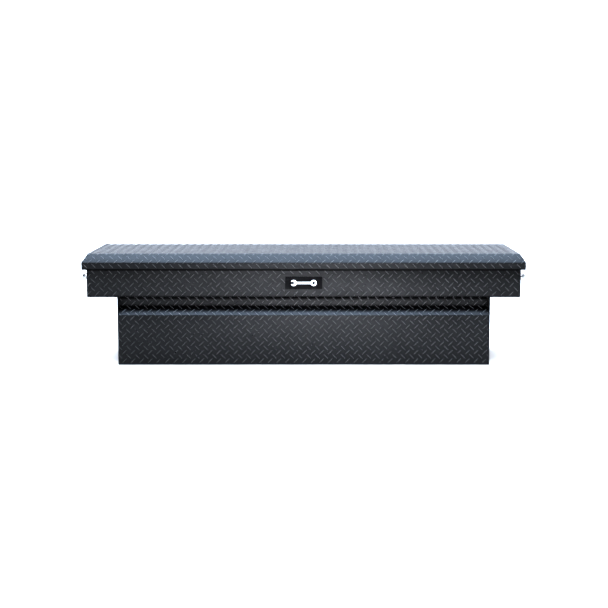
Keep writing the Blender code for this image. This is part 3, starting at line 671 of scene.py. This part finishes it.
def bar_centres(x_range, s_range, x_phase, s_phase):
    """Centres and slants of the pattern: one bar each way in every pitch, half a pitch apart."""
    found = []
    for kind, slant in ((0, -1), (1, 1)):
        x0 = x_phase + kind * PITCH / 2
        s0 = s_phase + kind * PITCH / 2
        for i in pitches_within(x_range, x0):
            for j in pitches_within(s_range, s0):
                found.append((x0 + i * PITCH, s0 + j * PITCH, slant))
    return found


def tread_mesh(parts, bar):
    """Joins bars from several areas. Each part holds centres, a developed sheet, a placing function
    and a clipping function that keeps every vertex on its own face."""
    bar_along, bar_across, bar_up, bar_faces = bar
    all_points, all_faces = [], []
    start = 0
    for centres, sheet, place, clip in parts:
        if not centres:
            continue
        c = np.array(centres)
        half = math.sqrt(0.5)
        x = c[:, :1] + (bar_along[None] * half - bar_across[None] * half * c[:, 2:3])
        s = c[:, 1:2] + (bar_along[None] * half * c[:, 2:3] + bar_across[None] * half)
        x, s = clip(x, s)
        a, b = sheet.lifted(s, np.broadcast_to(bar_up, s.shape))
        points = np.stack(place(a, b, x), -1).reshape(-1, 3)
        all_points.append(points)
        count = len(bar_along)
        for k in range(len(c)):
            all_faces += [tuple(start + k * count + v for v in f) for f in bar_faces]
        start += len(points)
    return np.concatenate(all_points), all_faces


def tread_piece(name, body, parts, bar=WALL_BAR):
    points, faces = tread_mesh(parts, bar)
    mesh = bpy.data.meshes.new("bars")
    mesh.from_pydata(points.tolist(), [], faces)
    bm = bmesh.new()
    bm.from_mesh(mesh)
    bpy.data.meshes.remove(mesh)
    bmesh.ops.dissolve_degenerate(bm, dist=2e-5, edges=bm.edges)
    return new_piece(name, bm, MAT["bars"], body, 50)


def clip_between(x_limit, s_low, s_high):
    """A function that draws a bar's points back inside the area."""
    def clip(x, s):
        s = np.clip(s, s_low, s_high)
        limit = x_limit(s)
        return np.clip(x, -limit, limit), s
    return clip


def near_edge_only(centres, x_limit, s_low, s_high, spare=CENTRE_SPARE):
    """Drops bars whose centre lies more than a little outside the area."""
    kept = []
    for x, s, kind in centres:
        inside = s_low - spare < s < s_high + spare
        if inside and abs(x) < float(x_limit(np.array([s]))[0]) + spare:
            kept.append((x, s, kind))
    return kept


def tub_outline():
    """The long walls' section from the rim's flange down: distance from the middle, and height."""
    return [(BODY_HALF_Y - RIM_FLANGE, RIM_Z), (BODY_HALF_Y, RIM_Z), (BODY_HALF_Y, RAIL_Z),
            (RECESS_HALF_Y, RAIL_Z), (RECESS_HALF_Y, RECESS_LOW_Z), (BODY_HALF_Y, LEDGE_Z),
            (BODY_HALF_Y, 0.0)]


def long_wall_tread(name, facing, skip):
    """Bars on the front or back wall, from the rim past the rail recess to the bottom."""
    sheet = Developed(tub_outline())
    below_rim = sheet.distance(lambda d, z: z < RIM_Z - BEND * 0.9)
    wall_end = sheet.distance(lambda d, z: z < RAIL_Z + BEND * 1.1 and d > BODY_HALF_Y - 1e-5)
    bottom = sheet.along[-1] - EDGE_MARGIN
    phase = sheet.along[-1] - TUB_PHASE_Z
    lower_end = LOWER_HALF_X - SHEET - EDGE_MARGIN
    upper_end = BODY_HALF_X - EDGE_MARGIN
    seam = LOWER_HALF_X - SEAM_INSET

    def place(d, z, x):
        return x, facing * d, z

    def middle_limit(s):
        return np.where(s < wall_end + 1e-4, upper_end, lower_end)

    x_range = (-upper_end, upper_end)
    wing_foot = wall_end + CENTRE_SPARE
    upper = bar_centres(x_range, (below_rim, wall_end), TUB_PHASE_X, phase - UPPER_PHASE_UP)
    lower = bar_centres(x_range, (wall_end, bottom), TUB_PHASE_X, phase)
    centres = [c for c in upper + lower if not skip(c[0], sheet.at(c[1])[1])]
    wings = [c for c in centres if abs(c[0]) > seam and c[1] < wing_foot]
    middle = [c for c in centres if abs(c[0]) <= seam or c[1] > wing_foot]
    middle = near_edge_only(middle, middle_limit, below_rim, bottom)

    def wing_limit(s):
        return np.full_like(s, upper_end)

    wings = near_edge_only(wings, wing_limit, below_rim, wall_end)
    return tread_piece(name, "tub", [
        (middle, sheet, place, clip_between(middle_limit, below_rim, bottom)),
        (wings, sheet, place, clip_between(wing_limit, below_rim, wall_end - WALL_END_TRIM)),
    ])


def end_wall_tread(name, side):
    """Bars on the upper end wall, the shelf over the bed rail and the lower end wall."""
    sheet = Developed([(BODY_HALF_X - RIM_FLANGE, RIM_Z), (BODY_HALF_X, RIM_Z),
                       (BODY_HALF_X, RAIL_Z), (LOWER_HALF_X, RAIL_Z), (LOWER_HALF_X, 0.0)])
    below_rim = sheet.distance(lambda x, z: z < RIM_Z - BEND * 0.9)
    bottom = sheet.along[-1] - EDGE_MARGIN
    half_y = BODY_HALF_Y - SHEET - EDGE_MARGIN
    clear_y = (dish_high.y - dish_low.y) / 2 + DISH_CLEARANCE
    clear_z = (dish_high.z - dish_low.z) / 2 + DISH_CLEARANCE

    def limit(s):
        return np.full_like(s, half_y)

    def under_dish(y, s):
        x, z = sheet.at(s)
        return x > BODY_HALF_X - 1e-4 and abs(y - HANDLE_Y) < clear_y and abs(z - DISH_Z) < clear_z

    phase = sheet.along[-1] - TUB_PHASE_Z
    centres = bar_centres((-half_y, half_y), (below_rim, bottom), 0.0, phase)
    centres = [c for c in centres if not under_dish(c[0], c[1])]
    centres = near_edge_only(centres, limit, below_rim, bottom)
    return tread_piece(name, "tub", [
        (centres, sheet, lambda x, z, y: (side * x, y, z), clip_between(limit, below_rim, bottom)),
    ])


def lid_tread():
    """Bars over the lid: two long halves that fold over the front and back, and the two ends."""
    top_y = LID_HALF_Y - LID_CHAMFER_INSET
    top_x = LID_HALF_X - LID_CHAMFER_INSET
    long_sheet = Developed([(0.0, HEIGHT), (top_y, HEIGHT), (LID_HALF_Y, LID_CHAMFER_Z),
                            (LID_HALF_Y, LID_EDGE_Z)], LID_BEND)
    end_sheet = Developed([(0.0, HEIGHT), (top_x, HEIGHT), (LID_HALF_X, LID_CHAMFER_Z),
                           (LID_HALF_X, LID_EDGE_Z)], LID_BEND)
    skirt = LID_CHAMFER_Z - LID_EDGE_Z
    long_edge = long_sheet.along[-1] - EDGE_MARGIN
    end_edge = end_sheet.along[-1] - EDGE_MARGIN
    fold_x = top_x - LID_BEND - LID_FOLD_SPARE
    phase = long_sheet.along[-1] - skirt - LID_PHASE_UP
    over_ridge = -1.0  # below every distance, so that nothing is cut off at the lid's middle
    parts = []
    for facing in (-1, 1):
        def long_limit(s):
            d, z = long_sheet.at(s)
            return np.maximum(top_x, LID_HALF_X - (LID_HALF_Y - d)) - MITRE_MARGIN

        def long_place(d, z, x, facing=facing):
            return x, facing * d, z

        s_phase = phase if facing < 0 else -phase
        s_range = (0.0, long_edge + CENTRE_SPARE)
        centres = bar_centres((-LID_HALF_X, LID_HALF_X), s_range, LID_PHASE_X, s_phase)
        if facing > 0:
            centres = [(x, s, -slant) for x, s, slant in centres if s > RIDGE_SPARE]
        centres = [c for c in centres if abs(c[0]) < fold_x or c[1] > top_y]
        centres = near_edge_only(centres, lambda s: long_limit(s) + MITRE_OVERLAP, over_ridge,
                                 long_edge, LID_CENTRE_SPARE)
        parts.append((centres, long_sheet, long_place,
                      clip_between(long_limit, over_ridge, long_edge)))
    for side in (-1, 1):
        def end_limit(s):
            x, z = end_sheet.at(s)
            return np.maximum(top_y, LID_HALF_Y - (LID_HALF_X - x)) - MITRE_MARGIN

        def end_place(x, z, y, side=side):
            return side * x, y, z

        x_phase = LID_PHASE_X if side > 0 else -LID_PHASE_X
        s_range = (fold_x, end_edge + CENTRE_SPARE)
        centres = bar_centres((-LID_HALF_Y, LID_HALF_Y), s_range, phase, x_phase)
        centres = near_edge_only(centres, end_limit, fold_x, end_edge, LID_CENTRE_SPARE)
        parts.append((centres, end_sheet, end_place,
                      clip_between(end_limit, over_ridge, end_edge)))
    return tread_piece("lid_tread", "lid", parts, LID_BAR)


def under_badge(x, z):
    wide = (badge_high.x - badge_low.x) / 2 + BADGE_CLEARANCE
    tall = (badge_high.z - badge_low.z) / 2 + BADGE_CLEARANCE
    middle = (badge_high.z + badge_low.z) / 2
    return abs(x) < wide and abs(z - middle) < tall


def under_leaf(x, z):
    return leaf_low.z - LEAF_CLEARANCE < z < leaf_high.z


# ---- welds, rivets and the badge's mark ----
def bead(bm, route, radius, ripple=WELD_RIPPLE):
    """A weld bead: a tube whose thickness ripples along its length."""
    dense = [route[0]]
    for a, b in zip(route, route[1:]):
        count = max(1, int((b - a).length / (ripple / 3)))
        for i in range(1, count + 1):
            dense.append(a.lerp(b, i / count))
    radii = []
    travelled = 0.0
    for i, point in enumerate(dense):
        if i:
            travelled += (point - dense[i - 1]).length
        swell = RIPPLE_SWELL * math.sin(2 * math.pi * travelled / ripple)
        radii.append(radius * (1 + swell))
    add_tube(bm, dense, radii, 8)


def tub_welds():
    """Beads up the corners of the lower tub, along the recess ends, and down the upper corners."""
    bm = bmesh.new()
    seam_x = LOWER_HALF_X - SHEET - WELD_SINK
    corner_x = BODY_HALF_X - CORNER_WELD / 2
    corner_y = BODY_HALF_Y - SHEET - CORNER_WELD / 10
    shelf_y = BODY_HALF_Y - SHELF_WELD_IN
    outline = bend_corners(tub_outline()[2:])
    for side in (-1, 1):
        for facing in (-1, 1):
            seam = [Vector((side * seam_x, facing * (d - WELD_SINK), z)) for d, z in outline[3:]]
            bead(bm, seam, SEAM_WELD)
            corner = [Vector((side * corner_x, facing * corner_y, z))
                      for z in (RAIL_Z + CORNER_WELD_ENDS[0], RIM_Z - CORNER_WELD_ENDS[1])]
            bead(bm, corner, CORNER_WELD)
            shelf = [Vector((side * x, facing * shelf_y, RAIL_Z + BEND))
                     for x in (LOWER_HALF_X + SHELF_WELD_END, BODY_HALF_X - SHELF_WELD_END)]
            bead(bm, shelf, SHELF_WELD)
    return new_piece("tub_welds", bm, MAT["weld"], "tub", 60)


def bottom_welds():
    """Beads inside the tub, round the bottom."""
    bm = bmesh.new()
    half_x = LOWER_HALF_X - SHEET - WELD_SINK
    half_y = BODY_HALF_Y - SHEET - WELD_SINK
    corners = [Vector((sx * half_x, sy * half_y, SHEET + BOTTOM_WELD_UP))
               for sx, sy in ((-1, -1), (1, -1), (1, 1), (-1, 1))]
    for a, b in zip(corners, corners[1:] + corners[:1]):
        bead(bm, [a, b], BOTTOM_WELD, BOTTOM_RIPPLE)
    return new_piece("bottom_welds", bm, MAT["weld"], "tub", 60)


def shadow_line_strip():
    """A thin near-black strip along the front wall, just under the lid's edge: a dark piece put where the lid's
    edge casts its shadow, as painted shadow.
    """
    bm = bmesh.new()
    half_x = BODY_HALF_X - STRIP_END_GAP
    top, bottom = LID_EDGE_Z + STRIP_OVERLAP, LID_EDGE_Z - STRIP_DROP
    middle = (top + bottom) / 2
    shoulder = STRIP_DEPTH - 0.0004
    outline = [(0.0002, bottom), (-shoulder, bottom + 0.0004), (-STRIP_DEPTH, middle - 0.0010),
               (-STRIP_DEPTH, middle + 0.0010), (-shoulder, top - 0.0004), (0.0002, top)]
    add_prism(bm, outline, -half_x, half_x, lambda y, z, x: (x, y - BODY_HALF_Y, z))
    return new_piece("front_rub_strip", bm, MAT["strip"], "tub")


def add_rivets(bm, places, normal, size, sides=16):
    for place in places:
        add_turned(bm, dome(*size), place, normal, sides)


def spaced(low, high, count):
    return [low + (high - low) * i / (count - 1) for i in range(count)]


def hinge_rivets():
    """Rivets through both hinge leaves."""
    xs = spaced(leaf_low.x + HINGE_RIVET_INSET, leaf_high.x - HINGE_RIVET_INSET, HINGE_RIVETS)
    rows = (("tub", BODY_HALF_Y + GAP + LEAF_THICKNESS, leaf_low.z + LEAF_RIVET_UP),
            ("lid", LID_HALF_Y, LID_EDGE_Z + LID_RIVET_UP))
    for body, y, z in rows:
        bm = bmesh.new()
        add_rivets(bm, [Vector((x, y, z)) for x in xs], (0, 1, 0), HINGE_RIVET)
        new_piece(f"hinge_rivets_{body}", bm, MAT["hinge"], body)


def stiffener_rivets():
    bm = bmesh.new()
    xs = spaced(-STIFFENER_RIVET_REACH, STIFFENER_RIVET_REACH, STIFFENER_RIVETS)
    low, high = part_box("lid_stiffener")
    foot = HEIGHT - SHEET - GAP - SHEET
    for y in (low.y + STIFFENER_RIVET_INSET, high.y - STIFFENER_RIVET_INSET):
        add_rivets(bm, [Vector((x, y, foot)) for x in xs], (0, 0, -1), STIFFENER_RIVET)
    new_piece("stiffener_rivets", bm, MAT["weld"], "lid")


def dish_rivets(label, side):
    """A rivet in each corner of the handle's dish."""
    bm = bmesh.new()
    off_y = (dish_high.y - dish_low.y) / 2 - DISH_RIVET_INSET
    off_z = (dish_high.z - dish_low.z) / 2 - DISH_RIVET_INSET
    places = [Vector((side * dish_high.x, HANDLE_Y + sy * off_y, DISH_Z + sz * off_z))
              for sy in (-1, 1) for sz in (-1, 1)]
    add_rivets(bm, places, (side, 0, 0), SMALL_RIVET, 20)
    new_piece(f"{label}_dish_rivets", bm, MAT["polished"], "tub")


def bracket_rivets(label, side):
    """Rivet heads that hold the strut brackets."""
    low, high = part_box(f"{label}_strut_bracket_tub")
    face = LOWER_HALF_X - SHEET - GAP - BRACKET_THICKNESS
    places = [(side * face, y, z)
              for y in (low.y + BRACKET_RIVET_INSET, high.y - BRACKET_RIVET_INSET)
              for z in (low.z + BRACKET_RIVET_INSET, high.z - BRACKET_RIVET_INSET)]
    bm = bmesh.new()
    add_rivets(bm, places, (-side, 0, 0), BRACKET_RIVET)
    new_piece(f"{label}_strut_bracket_tub_rivets", bm, MAT["zinc"], "tub")
    low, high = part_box(f"{label}_strut_bracket_lid")
    x = side * (min(abs(low.x), abs(high.x)) + BRACKET_RIVET_ACROSS)
    places = [(x, y, high.z - BRACKET_THICKNESS)
              for y in (low.y + BRACKET_RIVET_INSET, high.y - BRACKET_RIVET_INSET)]
    bm = bmesh.new()
    add_rivets(bm, places, (0, 0, -1), BRACKET_RIVET)
    new_piece(f"{label}_strut_bracket_lid_rivets", bm, MAT["zinc"], "lid")


def striker_rivets(label, side):
    low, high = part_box(f"{label}_striker")
    inner = min(abs(low.x), abs(high.x))
    places = [(side * (inner + across), y, high.z - STRIKER_PLATE)
              for y in (low.y + STRIKER_RIVET_INSET, high.y - STRIKER_RIVET_INSET)
              for across in STRIKER_RIVETS_ACROSS]
    bm = bmesh.new()
    add_rivets(bm, places, (0, 0, -1), SMALL_RIVET)
    new_piece(f"{label}_striker_rivets", bm, MAT["zinc"], "lid")


def combine(target, tool, operation):
    """Adds or cuts one loose solid, which is then removed."""
    step = target.modifiers.new(operation.lower(), "BOOLEAN")
    step.operation = operation
    step.solver = "EXACT"
    step.object = tool
    bpy.context.view_layer.update()
    evaluated = target.evaluated_get(bpy.context.evaluated_depsgraph_get())
    result = bpy.data.meshes.new_from_object(evaluated)
    target.modifiers.clear()
    target.data = result
    bpy.data.objects.remove(tool, do_unlink=True)


def loose_prism(outline, low, high, place):
    """A straight solid as an object of its own, for combine()."""
    bm = bmesh.new()
    add_prism(bm, outline, low, high, place)
    bmesh.ops.recalc_face_normals(bm, faces=bm.faces)
    mesh = bpy.data.meshes.new("tool")
    bm.to_mesh(mesh)
    bm.free()
    item = bpy.data.objects.new("tool", mesh)
    bpy.context.scene.collection.objects.link(item)
    return item


def badge_mark():
    """A wordless double-ended spanner in white, raised a little from the badge."""
    centre_z = (badge_high.z + badge_low.z) / 2
    face = badge_low.y

    def place(x, z, y):
        return (x, face - y, centre_z + z)

    def raised(outline):
        return loose_prism(outline, -MARK_SINK, MARK_THICKNESS, place)

    def cutter(outline):
        return loose_prism(outline, CUT_LOW, CUT_HIGH, place)

    mark = raised(rounded_rectangle((0.0, 0.0), 2 * MARK_REACH, SHANK_WIDTH, SHANK_CORNER))
    for side in (-1, 1):
        head = arc((side * MARK_REACH, 0.0), HEAD_RADIUS, 0, 360 * 31 / 32, 31)
        combine(mark, raised(head), "UNION")
    mouth, shoulder, floor = (-MARK_REACH - JAW_MOUTH, -MARK_REACH - JAW_SHOULDER,
                              -MARK_REACH + JAW_SHOULDER)
    jaw = [(mouth, -JAW_HALF), (shoulder, -JAW_HALF), (floor, -JAW_FLOOR_HALF),
           (floor, JAW_FLOOR_HALF), (shoulder, JAW_HALF), (mouth, JAW_HALF)]
    hexagon = arc((MARK_REACH, 0.0), RING_RADIUS, 0, 300, 5)
    for cut in (jaw, hexagon, rounded_rectangle((0.0, 0.0), *GROOVE)):
        combine(mark, cutter(cut), "DIFFERENCE")
    bm = bmesh.new()
    bm.from_mesh(mark.data)
    bpy.data.objects.remove(mark, do_unlink=True)
    new_piece("badge_mark", bm, MAT["ink"], "tub", 30)


# ---- round hardware, turned finer than in the CAD ----
def strut_axis():
    """The right strut's lower ball and the direction that its rod slides in."""
    joints = {joint["name"]: joint for joint in frame["joints"]}
    return (Vector(joints["right_strut_swing"]["pos_m"]),
            Vector(joints["right_strut_stroke"]["axis"]))


def strut_looks(label, side):
    """The painted cylinder with its rolled groove and open mouth, and the chromed rod."""
    base, axis = strut_axis()
    base = Vector((side * abs(base.x), base.y, base.z))
    start, radius = TUBE_START, TUBE_RADIUS
    end = start + TUBE_LENGTH
    groove = end - TUBE_GROOVE
    waist = radius - GROOVE_DEPTH
    profile = [(0.0056, start), (0.0076, start + 0.0006), (radius, start + 0.0032),
               (radius, groove - 0.0016), (waist, groove - 0.0006), (waist, groove + 0.0006),
               (radius, groove + 0.0016), (radius, end - 0.0024), (radius - 0.0006, end - 0.0010),
               (radius - 0.0020, end), (0.0052, end), (0.0049, end - 0.0006),
               (MOUTH_RADIUS, end - 0.0006), (MOUTH_RADIUS, end - MOUTH_DEPTH)]
    bm = bmesh.new()
    add_turned(bm, profile, base, axis, 48)
    tube = new_piece(f"{label}_strut_tube_paint", bm, MAT["strut"], f"{label}_strut_tube")
    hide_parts(f"{label}_strut_cylinder")
    rod = [(ROD_RADIUS - 0.0006, ROD_START), (ROD_RADIUS, ROD_START + 0.0006),
           (ROD_RADIUS, ROD_END - 0.0006), (ROD_RADIUS - 0.0004, ROD_END)]
    bm = bmesh.new()
    add_turned(bm, rod, base, axis, 32)
    piece = new_piece(f"{label}_strut_rod_chrome", bm, MAT["chrome"], f"{label}_strut_piston")
    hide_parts(f"{label}_strut_rod")


def chamfered_pin(half, radius, chamfer):
    """Profile of a pin about its middle, its ends chamfered."""
    return [(radius - 0.0004, -half), (radius, chamfer - half), (radius, half - chamfer),
            (radius - 0.0004, half)]


def pin_looks(label, side):
    """Latch pins with domed riveted heads, and the paddle's pin with chamfered ends."""
    for name in ("rotor_pin", "pawl_pin"):
        low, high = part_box(f"{label}_{name}")
        y, z = (low.y + high.y) / 2, (low.z + high.z) / 2
        inner = min(abs(low.x), abs(high.x))
        outer = max(abs(low.x), abs(high.x))
        under = outer - PIN_HEAD_HEIGHT
        profile = [(PIN_RADIUS - 0.0004, inner), (PIN_RADIUS, inner + 0.0004), (PIN_RADIUS, under),
                   (PIN_HEAD_RADIUS, under), (PIN_HEAD_RADIUS, under + 0.0010),
                   (PIN_HEAD_RADIUS - 0.0008, under + 0.0020),
                   (PIN_HEAD_RADIUS - 0.0026, under + 0.0026), (PIN_RADIUS / 2, outer)]
        bm = bmesh.new()
        add_turned(bm, [(r, side * a) for r, a in profile], (0.0, y, z), (1, 0, 0), 32)
        piece = new_piece(f"{label}_{name}_head", bm, MAT["zinc"], "tub")
        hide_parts(f"{label}_{name}")
    low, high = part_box(f"{label}_paddle_pin")
    bm = bmesh.new()
    profile = chamfered_pin((high.y - low.y) / 2, PADDLE_PIN_RADIUS, 0.0004)
    add_turned(bm, profile, (low + high) / 2, (0, 1, 0), 24)
    piece = new_piece(f"{label}_paddle_pin_steel", bm, MAT["zinc"], "tub")
    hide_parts(f"{label}_paddle_pin")


def spring_looks(label, side):
    """The paddle's return spring, wound finer than its CAD stand-in."""
    low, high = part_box(f"{label}_paddle_spring")
    centre = (low + high) / 2
    coil = (high.z - low.z) / 2 - SPRING_WIRE
    start = low.y + SPRING_WIRE
    rise = (high.y - low.y - 2 * SPRING_WIRE) / SPRING_TURNS
    route = []
    for i in range(SPRING_TURNS * SPRING_STEPS + 1):
        turned = i / SPRING_STEPS
        angle = 2 * math.pi * turned
        route.append(Vector((centre.x + side * coil * math.cos(angle), start + rise * turned,
                             centre.z + coil * math.sin(angle))))
    bm = bmesh.new()
    add_tube(bm, route, SPRING_WIRE, 8)
    piece = new_piece(f"{label}_paddle_spring_wire", bm, MAT["spring"], "tub", 60)
    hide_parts(f"{label}_paddle_spring")


def lock_looks(label, side):
    """The lock's bright collar round its brass plug."""
    low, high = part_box(f"{label}_lock_barrel")
    y, z = (low.y + high.y) / 2, (low.z + high.z) / 2
    inner = min(abs(low.x), abs(high.x))
    outer = max(abs(low.x), abs(high.x))
    collar = outer - COLLAR_HEIGHT
    profile = [(PLUG_BORE, inner), (BARREL_RADIUS, inner), (BARREL_RADIUS, collar),
               (COLLAR_RADIUS, collar), (COLLAR_RADIUS, collar + 0.0007),
               (COLLAR_RADIUS - 0.0003, collar + 0.0012), (COLLAR_RADIUS - 0.0008, outer),
               (0.0056, outer), (0.0050, outer - 0.0003), (PLUG_BORE, outer - 0.0004)]
    bm = bmesh.new()
    add_turned(bm, [(r, side * a) for r, a in profile], (0.0, y, z), (1, 0, 0), 48, True)
    piece = new_piece(f"{label}_lock_collar", bm, MAT["polished"], f"{label}_handle",
                      30)
    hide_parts(f"{label}_lock_barrel")
    finish_node(f"{label}_lock_plug", f"{label}_lock", MAT["brass"], THIN_EDGE)


def hinge_pin_looks():
    low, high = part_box("hinge_pin")
    bm = bmesh.new()
    profile = chamfered_pin((high.x - low.x) / 2, HINGE_PIN_RADIUS, 0.0005)
    add_turned(bm, profile, (low + high) / 2, (1, 0, 0), 24)
    piece = new_piece("hinge_pin_steel", bm, MAT["zinc"], "tub")
    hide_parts("hinge_pin")


# ---- stage ----
def aimed_light(name, kind, place, target, power, colour):
    data = bpy.data.lights.new(name, kind)
    data.energy = power
    data.color = colour
    item = bpy.data.objects.new(name, data)
    aim = Vector(target) - Vector(place)
    item.rotation_euler = aim.to_track_quat("-Z", "Y").to_euler()
    bpy.context.scene.collection.objects.link(item)
    return item


def area_light(name, place, target, size, power, colour, spread=180):
    item = aimed_light(name, "AREA", place, target, power, colour)
    item.location = place
    item.data.shape = "RECTANGLE"
    item.data.size, item.data.size_y = size
    item.data.spread = math.radians(spread)


def studio_floor():
    half = FLOOR_HALF
    mesh = bpy.data.meshes.new("studio_floor")
    mesh.from_pydata([(-half, -half, 0), (half, -half, 0), (half, half, 0), (-half, half, 0)], [],
                     [(0, 1, 2, 3)])
    s = Shader("studio_floor_pale", FLOOR, 0.0, FLOOR_ROUGHNESS)
    s.main.inputs["Specular IOR Level"].default_value = 0.0
    mesh.materials.append(s.material)
    floor = bpy.data.objects.new("studio_floor", mesh)
    floor.location = (0.0, 0.0, -FLOOR_DROP)
    bpy.context.scene.collection.objects.link(floor)


def studio_world():
    """A backdrop that is dim in front of the object and bright behind it."""
    world = bpy.data.worlds.new("studio")
    world.use_nodes = True
    nodes, links = world.node_tree.nodes, world.node_tree.links
    place = nodes.new("ShaderNodeTexCoord")
    split = nodes.new("ShaderNodeSeparateXYZ")
    links.new(place.outputs["Generated"], split.inputs["Vector"])
    ramp = nodes.new("ShaderNodeMapRange")
    settings = zip(("From Min", "From Max", "To Min", "To Max"),
                   (*WORLD_RAMP, WORLD_FRONT, WORLD_BACK))
    for name, value in settings:
        ramp.inputs[name].default_value = value
    links.new(split.outputs["Y"], ramp.inputs["Value"])
    background = nodes["Background"]
    background.inputs["Color"].default_value = (*WORLD_BACK_COLOUR, 1.0)
    links.new(ramp.outputs["Result"], background.inputs["Strength"])
    bpy.context.scene.world = world
    bpy.context.scene.view_settings.view_transform = "Standard"
    bpy.context.scene.view_settings.gamma = CONTRAST


def studio_lights():
    overhead = aimed_light("overhead", "SUN", OVERHEAD_FROM, (0, 0, 0), OVERHEAD, OVERHEAD_COLOUR)
    overhead.data.angle = math.radians(OVERHEAD_ANGLE)
    area_light("key_softbox", KEY_FROM, KEY_AT, KEY_SIZE, KEY_POWER, KEY_COLOUR, KEY_SPREAD)
    area_light("floor_pool", POOL_FROM, POOL_AT, POOL_SIZE, POOL_POWER, POOL_COLOUR, POOL_SPREAD)
    area_light("softbox_left", LEFT_FROM, SIDE_AT, SIDE_SIZE, LEFT_POWER, SIDE_COLOUR)
    area_light("softbox_right", RIGHT_FROM, SIDE_AT, SIDE_SIZE, RIGHT_POWER, SIDE_COLOUR)


def camera():
    data = bpy.data.cameras.new("camera")
    data.sensor_width = 36.0
    data.lens = CAMERA_LENS
    data.shift_x = CAMERA_SHIFT
    item = bpy.data.objects.new("camera", data)
    item.location = CAMERA_PLACE
    item.rotation_euler = (math.radians(90 - CAMERA_PITCH), 0.0, 0.0)
    bpy.context.scene.collection.objects.link(item)
    bpy.context.scene.camera = item


# ---- assembly ----
camera()
studio_floor()
studio_world()
studio_lights()
finish_nodes()
long_wall_tread("front_tread", -1, under_badge)
long_wall_tread("back_tread", 1, under_leaf)
lid_tread()
tub_welds()
bottom_welds()
shadow_line_strip()
hinge_rivets()
stiffener_rivets()
hinge_pin_looks()
badge_mark()
for label, side in (("left", -1), ("right", 1)):
    end_wall_tread(f"{label}_end_tread", side)
    dish_rivets(label, side)
    bracket_rivets(label, side)
    striker_rivets(label, side)
    strut_looks(label, side)
    pin_looks(label, side)
    spring_looks(label, side)
    lock_looks(label, side)
